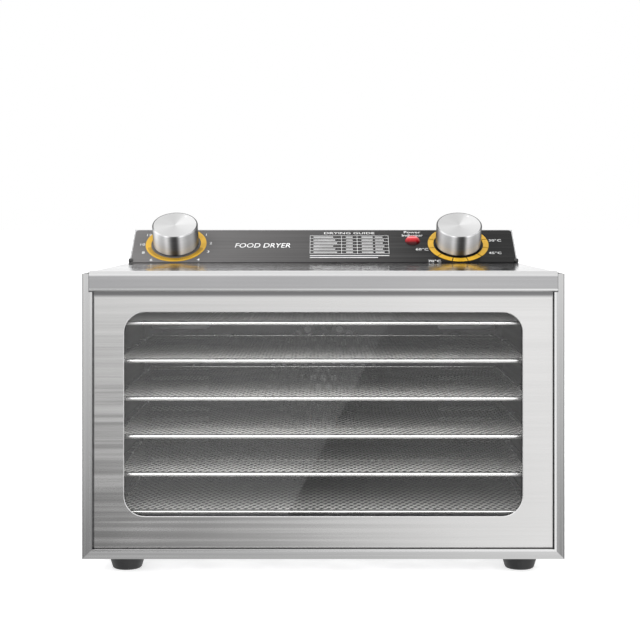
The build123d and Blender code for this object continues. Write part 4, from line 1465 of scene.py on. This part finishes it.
@dataclass
class Studio:
    """A plain pale floor, soft light all round and the camera.

    Attributes:
        distance: From the camera to the case's front face.
        eye_height: The camera's height above the floor.
        eye_offset: How far right of the middle the camera stands.
        lens: Focal length in millimetres.
        shift: How far the view is shifted, as shares of its width.
        floor_half: Half the floor's side.
        aim: What the lamps point at.
        TONE_TOP: The brightness that a tone scale's full white stands for.
        OVER_TONES: Place, from -1 left to 1 right, and tone of the stops overhead.
        LEVEL_TONES: The same level with the eye.
        MIDDLE_TONES: The same a little below it.
        LOW_TONES: The same lower still.
        UNDER_TONES: The same underfoot.
    """

    distance: float = 1.096
    eye_height: float = 0.2524
    eye_offset: float = 0.0008
    lens: float = 87.4
    shift: tuple[float, float] = (-0.007, -0.159)
    floor_half: float = 30.0
    aim: tuple[float, float, float] = (0.0, 0.0, 0.1)
    TONE_TOP: ClassVar[float] = 2.0
    OVER_TONES: ClassVar[Stops] = ((-0.9, 1.15), (-0.1, 1.05), (0.1, 1.0), (0.9, 0.8))
    LEVEL_TONES: ClassVar[Stops] = (
        (-0.95, 0.84), (-0.5, 1.1), (-0.135, 1.16), (0.0, 1.1), (0.135, 1.05), (0.5, 1.0), (0.95, 0.84),
    )
    MIDDLE_TONES: ClassVar[Stops] = (
        (-0.95, 0.57), (-0.5, 0.27), (-0.135, 0.27), (-0.077, 0.44), (0.0, 0.78),
        (0.077, 1.0), (0.135, 1.06), (0.4, 1.06), (0.95, 0.57),
    )
    LOW_TONES: ClassVar[Stops] = (
        (-0.95, 0.22), (-0.5, 0.22), (-0.135, 0.23), (-0.077, 0.34), (0.0, 0.55),
        (0.077, 0.9), (0.135, 1.08), (0.4, 1.08), (0.95, 0.22),
    )
    UNDER_TONES: ClassVar[Stops] = ((-0.6, 0.38), (-0.12, 0.42), (0.0, 0.52), (0.12, 0.75), (0.6, 0.8))

    def build(self) -> None:
        """Makes the floor, the sky, the lamps and the camera."""
        self.make_floor()
        self.make_sky()
        self.make_lamp("key_softbox", (-1.5, -0.9, 1.9), 1.4, 26.0)
        self.make_lamp("fill_softbox", (1.7, -1.1, 1.4), 1.4, 18.0)
        self.make_lamp("front_softbox", (0.0, -2.4, 0.95), 1.2, 14.0)
        self.make_pane_card()
        self.make_camera()

    def make_floor(self) -> None:
        """A wide pale floor that only faces and shadows see, so steel mirrors the sky."""
        mesh = bpy.data.meshes.new("floor")
        half = self.floor_half
        corners = [(-half, -half, 0.0), (half, -half, 0.0), (half, half, 0.0), (-half, half, 0.0)]
        mesh.from_pydata(corners, [], [(0, 1, 2, 3)])
        material = MouldedPlastic("floor_pale", (0.66, 0.66, 0.66), 0.8, 60.0, 0.0001).material()
        shader = next(node for node in material.node_tree.nodes if node.type == "BSDF_PRINCIPLED")
        shader.inputs["Emission Color"].default_value = (1.0, 1.0, 1.0, 1.0)
        shader.inputs["Emission Strength"].default_value = 0.62
        mesh.materials.append(material)
        floor = add_object("floor", mesh)
        floor.visible_glossy = False
        floor.visible_transmission = False

    def make_sky(self) -> None:
        """Soft light from all round, as five tone scales from left to right.

        Three scales lie one below the other in front of the case, one under the case
        and one overhead. The direction's height picks between them. What shows
        through the rear vents is dim, as the room behind the case.
        """
        world = bpy.data.worlds.new("studio")
        bpy.context.scene.world = world
        world.use_nodes = True
        world.node_tree.nodes.clear()
        graph = Graph(world.node_tree)
        parts = graph.add("SeparateXYZ")
        graph.plug(parts.inputs["Vector"], graph.add("TexCoord").outputs["Generated"])
        x, y, z = (parts.outputs[axis] for axis in "XYZ")
        over, level, middle, low, under = (
            self.scale(graph, x, tones) for tones in
            (self.OVER_TONES, self.LEVEL_TONES, self.MIDDLE_TONES, self.LOW_TONES, self.UNDER_TONES)
        )
        tone = self.between(graph, middle, level, graph.remap(z, 0.0, 1.0, -0.115, -0.02))
        tone = self.between(graph, low, tone, graph.remap(z, 0.0, 1.0, -0.21, -0.115))
        tone = self.between(graph, under, tone, graph.remap(z, 0.0, 1.0, -0.7, -0.3))
        tone = self.between(graph, tone, over, graph.remap(z, 0.0, 1.0, 0.35, 0.75))
        behind = graph.math("MULTIPLY", graph.remap(y, 0.0, 1.0, -0.1, 0.2),
                            graph.remap(z, 1.0, 0.0, 0.3, 0.7))
        tone = self.between(graph, tone, 1.0, behind)
        path = graph.add("LightPath")
        rear = graph.remap(y, 0.0, 1.0, 0.5, 0.8)
        vents = graph.math("MULTIPLY", path.outputs["Is Transmission Ray"], rear)
        tone = self.between(graph, tone, 0.06, vents)
        lit, plain = graph.add("Background"), graph.add("Background")
        graph.plug(lit.inputs["Strength"], tone)
        for background in (lit, plain):
            background.inputs["Color"].default_value = (1.0, 1.0, 1.0, 1.0)
        mix = graph.add("MixShader")
        graph.plug(mix.inputs[0], path.outputs["Is Camera Ray"])
        graph.plug(mix.inputs[1], lit.outputs["Background"])
        graph.plug(mix.inputs[2], plain.outputs["Background"])
        graph.plug(graph.add("OutputWorld").inputs["Surface"], mix.outputs["Shader"])

    def scale(self, graph: Graph, value: bpy.types.NodeSocket, tones: Stops) -> bpy.types.NodeSocket:
        """A tone that changes evenly between stops.

        Args:
            graph: The graph that it goes into.
            value: What the stops' places are on, from -1 to 1.
            tones: Place and tone of each stop, the tone as a share of TONE_TOP.

        Returns:
            The tone at the value.
        """
        share = graph.math("MULTIPLY_ADD", value, 0.5)
        share.node.inputs[2].default_value = 0.5
        stops = [(place / 2 + 0.5, (tone / self.TONE_TOP,) * 3) for place, tone in tones]
        return graph.math("MULTIPLY", graph.ramp(share, stops), self.TONE_TOP)

    def between(self, graph: Graph, first: object, second: object, share: object) -> bpy.types.NodeSocket:
        """The first tone, carried part of the way to the second.

        Args:
            graph: The graph that it goes into.
            first: The first tone.
            second: The second tone.
            share: The second's share, from 0 to 1.

        Returns:
            The tone between them.
        """
        node = graph.add("Mix", data_type="FLOAT")
        graph.plug(node.inputs["Factor"], share)
        graph.plug(node.inputs["A"], first)
        graph.plug(node.inputs["B"], second)
        return node.outputs["Result"]

    def make_lamp(self, name: str, place: tuple[float, float, float], size: float, power: float) -> None:
        """A square soft lamp, pointed at the case.

        Args:
            name: The lamp's name.
            place: Where it stands.
            size: Its side.
            power: Its power in watts.
        """
        data = bpy.data.lights.new(name, "AREA")
        data.size = size
        data.energy = power
        lamp = add_object(name, data)
        lamp.location = place
        ahead = np.array(self.aim) - np.array(place)
        lamp.rotation_euler = blender_vector(ahead).to_track_quat("-Z", "Y").to_euler()
        lamp.visible_glossy = False

    def make_pane_card(self) -> None:
        """A white card behind the camera that only the door's glass mirrors.

        Its slanted right edge crosses the pane from the upper middle to the lower
        left. The card's corners are the pane's points, carried past the camera's
        mirror image by similar triangles.
        """
        pane_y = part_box("door_glass")[0].y
        card_distance = 2.0
        camera_distance = self.distance + pane_y - cad_box_front()
        reach = 1 + card_distance / camera_distance
        pane_points = np.array([[-0.19, 0.022], [-0.036, 0.022], [0.058, 0.20], [-0.19, 0.20]])
        eye = np.array([self.eye_offset, self.eye_height])
        card = eye + (pane_points - eye) * reach
        mesh = bpy.data.meshes.new("pane_card")
        corners = [(float(x), pane_y - card_distance, float(z)) for x, z in card]
        mesh.from_pydata(corners, [], [(0, 1, 2, 3)])
        material = bpy.data.materials.new("card_white")
        material.use_nodes = True
        material.node_tree.nodes.clear()
        graph = Graph(material.node_tree)
        glow = graph.add("Emission")
        graph.plug(glow.inputs["Strength"], graph.remap(graph.noise((3.0, 3.0, 3.0)), 1.2, 1.4))
        mix = graph.add("MixShader")
        graph.plug(mix.inputs[0], graph.add("LightPath").outputs["Is Singular Ray"])
        graph.plug(mix.inputs[1], graph.add("BsdfTransparent").outputs["BSDF"])
        graph.plug(mix.inputs[2], glow.outputs["Emission"])
        graph.plug(graph.add("OutputMaterial").inputs["Surface"], mix.outputs["Shader"])
        mesh.materials.append(material)
        card_object = add_object("pane_card", mesh)
        card_object.visible_camera = False
        card_object.visible_diffuse = False
        card_object.visible_shadow = False

    def make_camera(self) -> None:
        """A level camera square to the front, shifted down onto the case."""
        data = bpy.data.cameras.new("camera")
        data.lens = self.lens
        data.shift_x, data.shift_y = self.shift
        camera = add_object("camera", data)
        camera.location = (self.eye_offset, cad_box_front() - self.distance, self.eye_height)
        camera.rotation_euler = (math.radians(90.0), 0.0, 0.0)
        bpy.context.scene.camera = camera


def blender_vector(values: np.ndarray) -> Vector:
    """The values as Blender's own vector."""
    return Vector([float(value) for value in values])


def cad_box_front() -> float:
    """The y of the case's front face."""
    return float(cad_box[0][1])


def main() -> None:
    """Builds every sub-assembly, in order, and then the studio."""
    bpy.context.scene.view_settings.view_transform = "Standard"
    for part in (Case(), AirSystem(), Door(), ControlPanel()):
        part.build()
        LOG.info("%s done", type(part).__name__)
    tray_count = sum(name.startswith("tray_frame_") for name in frame["nodes"])
    for number in range(1, tray_count + 1):
        MeshTray(number).build()
    Studio().build()


if __name__ == "__main__":
    main()
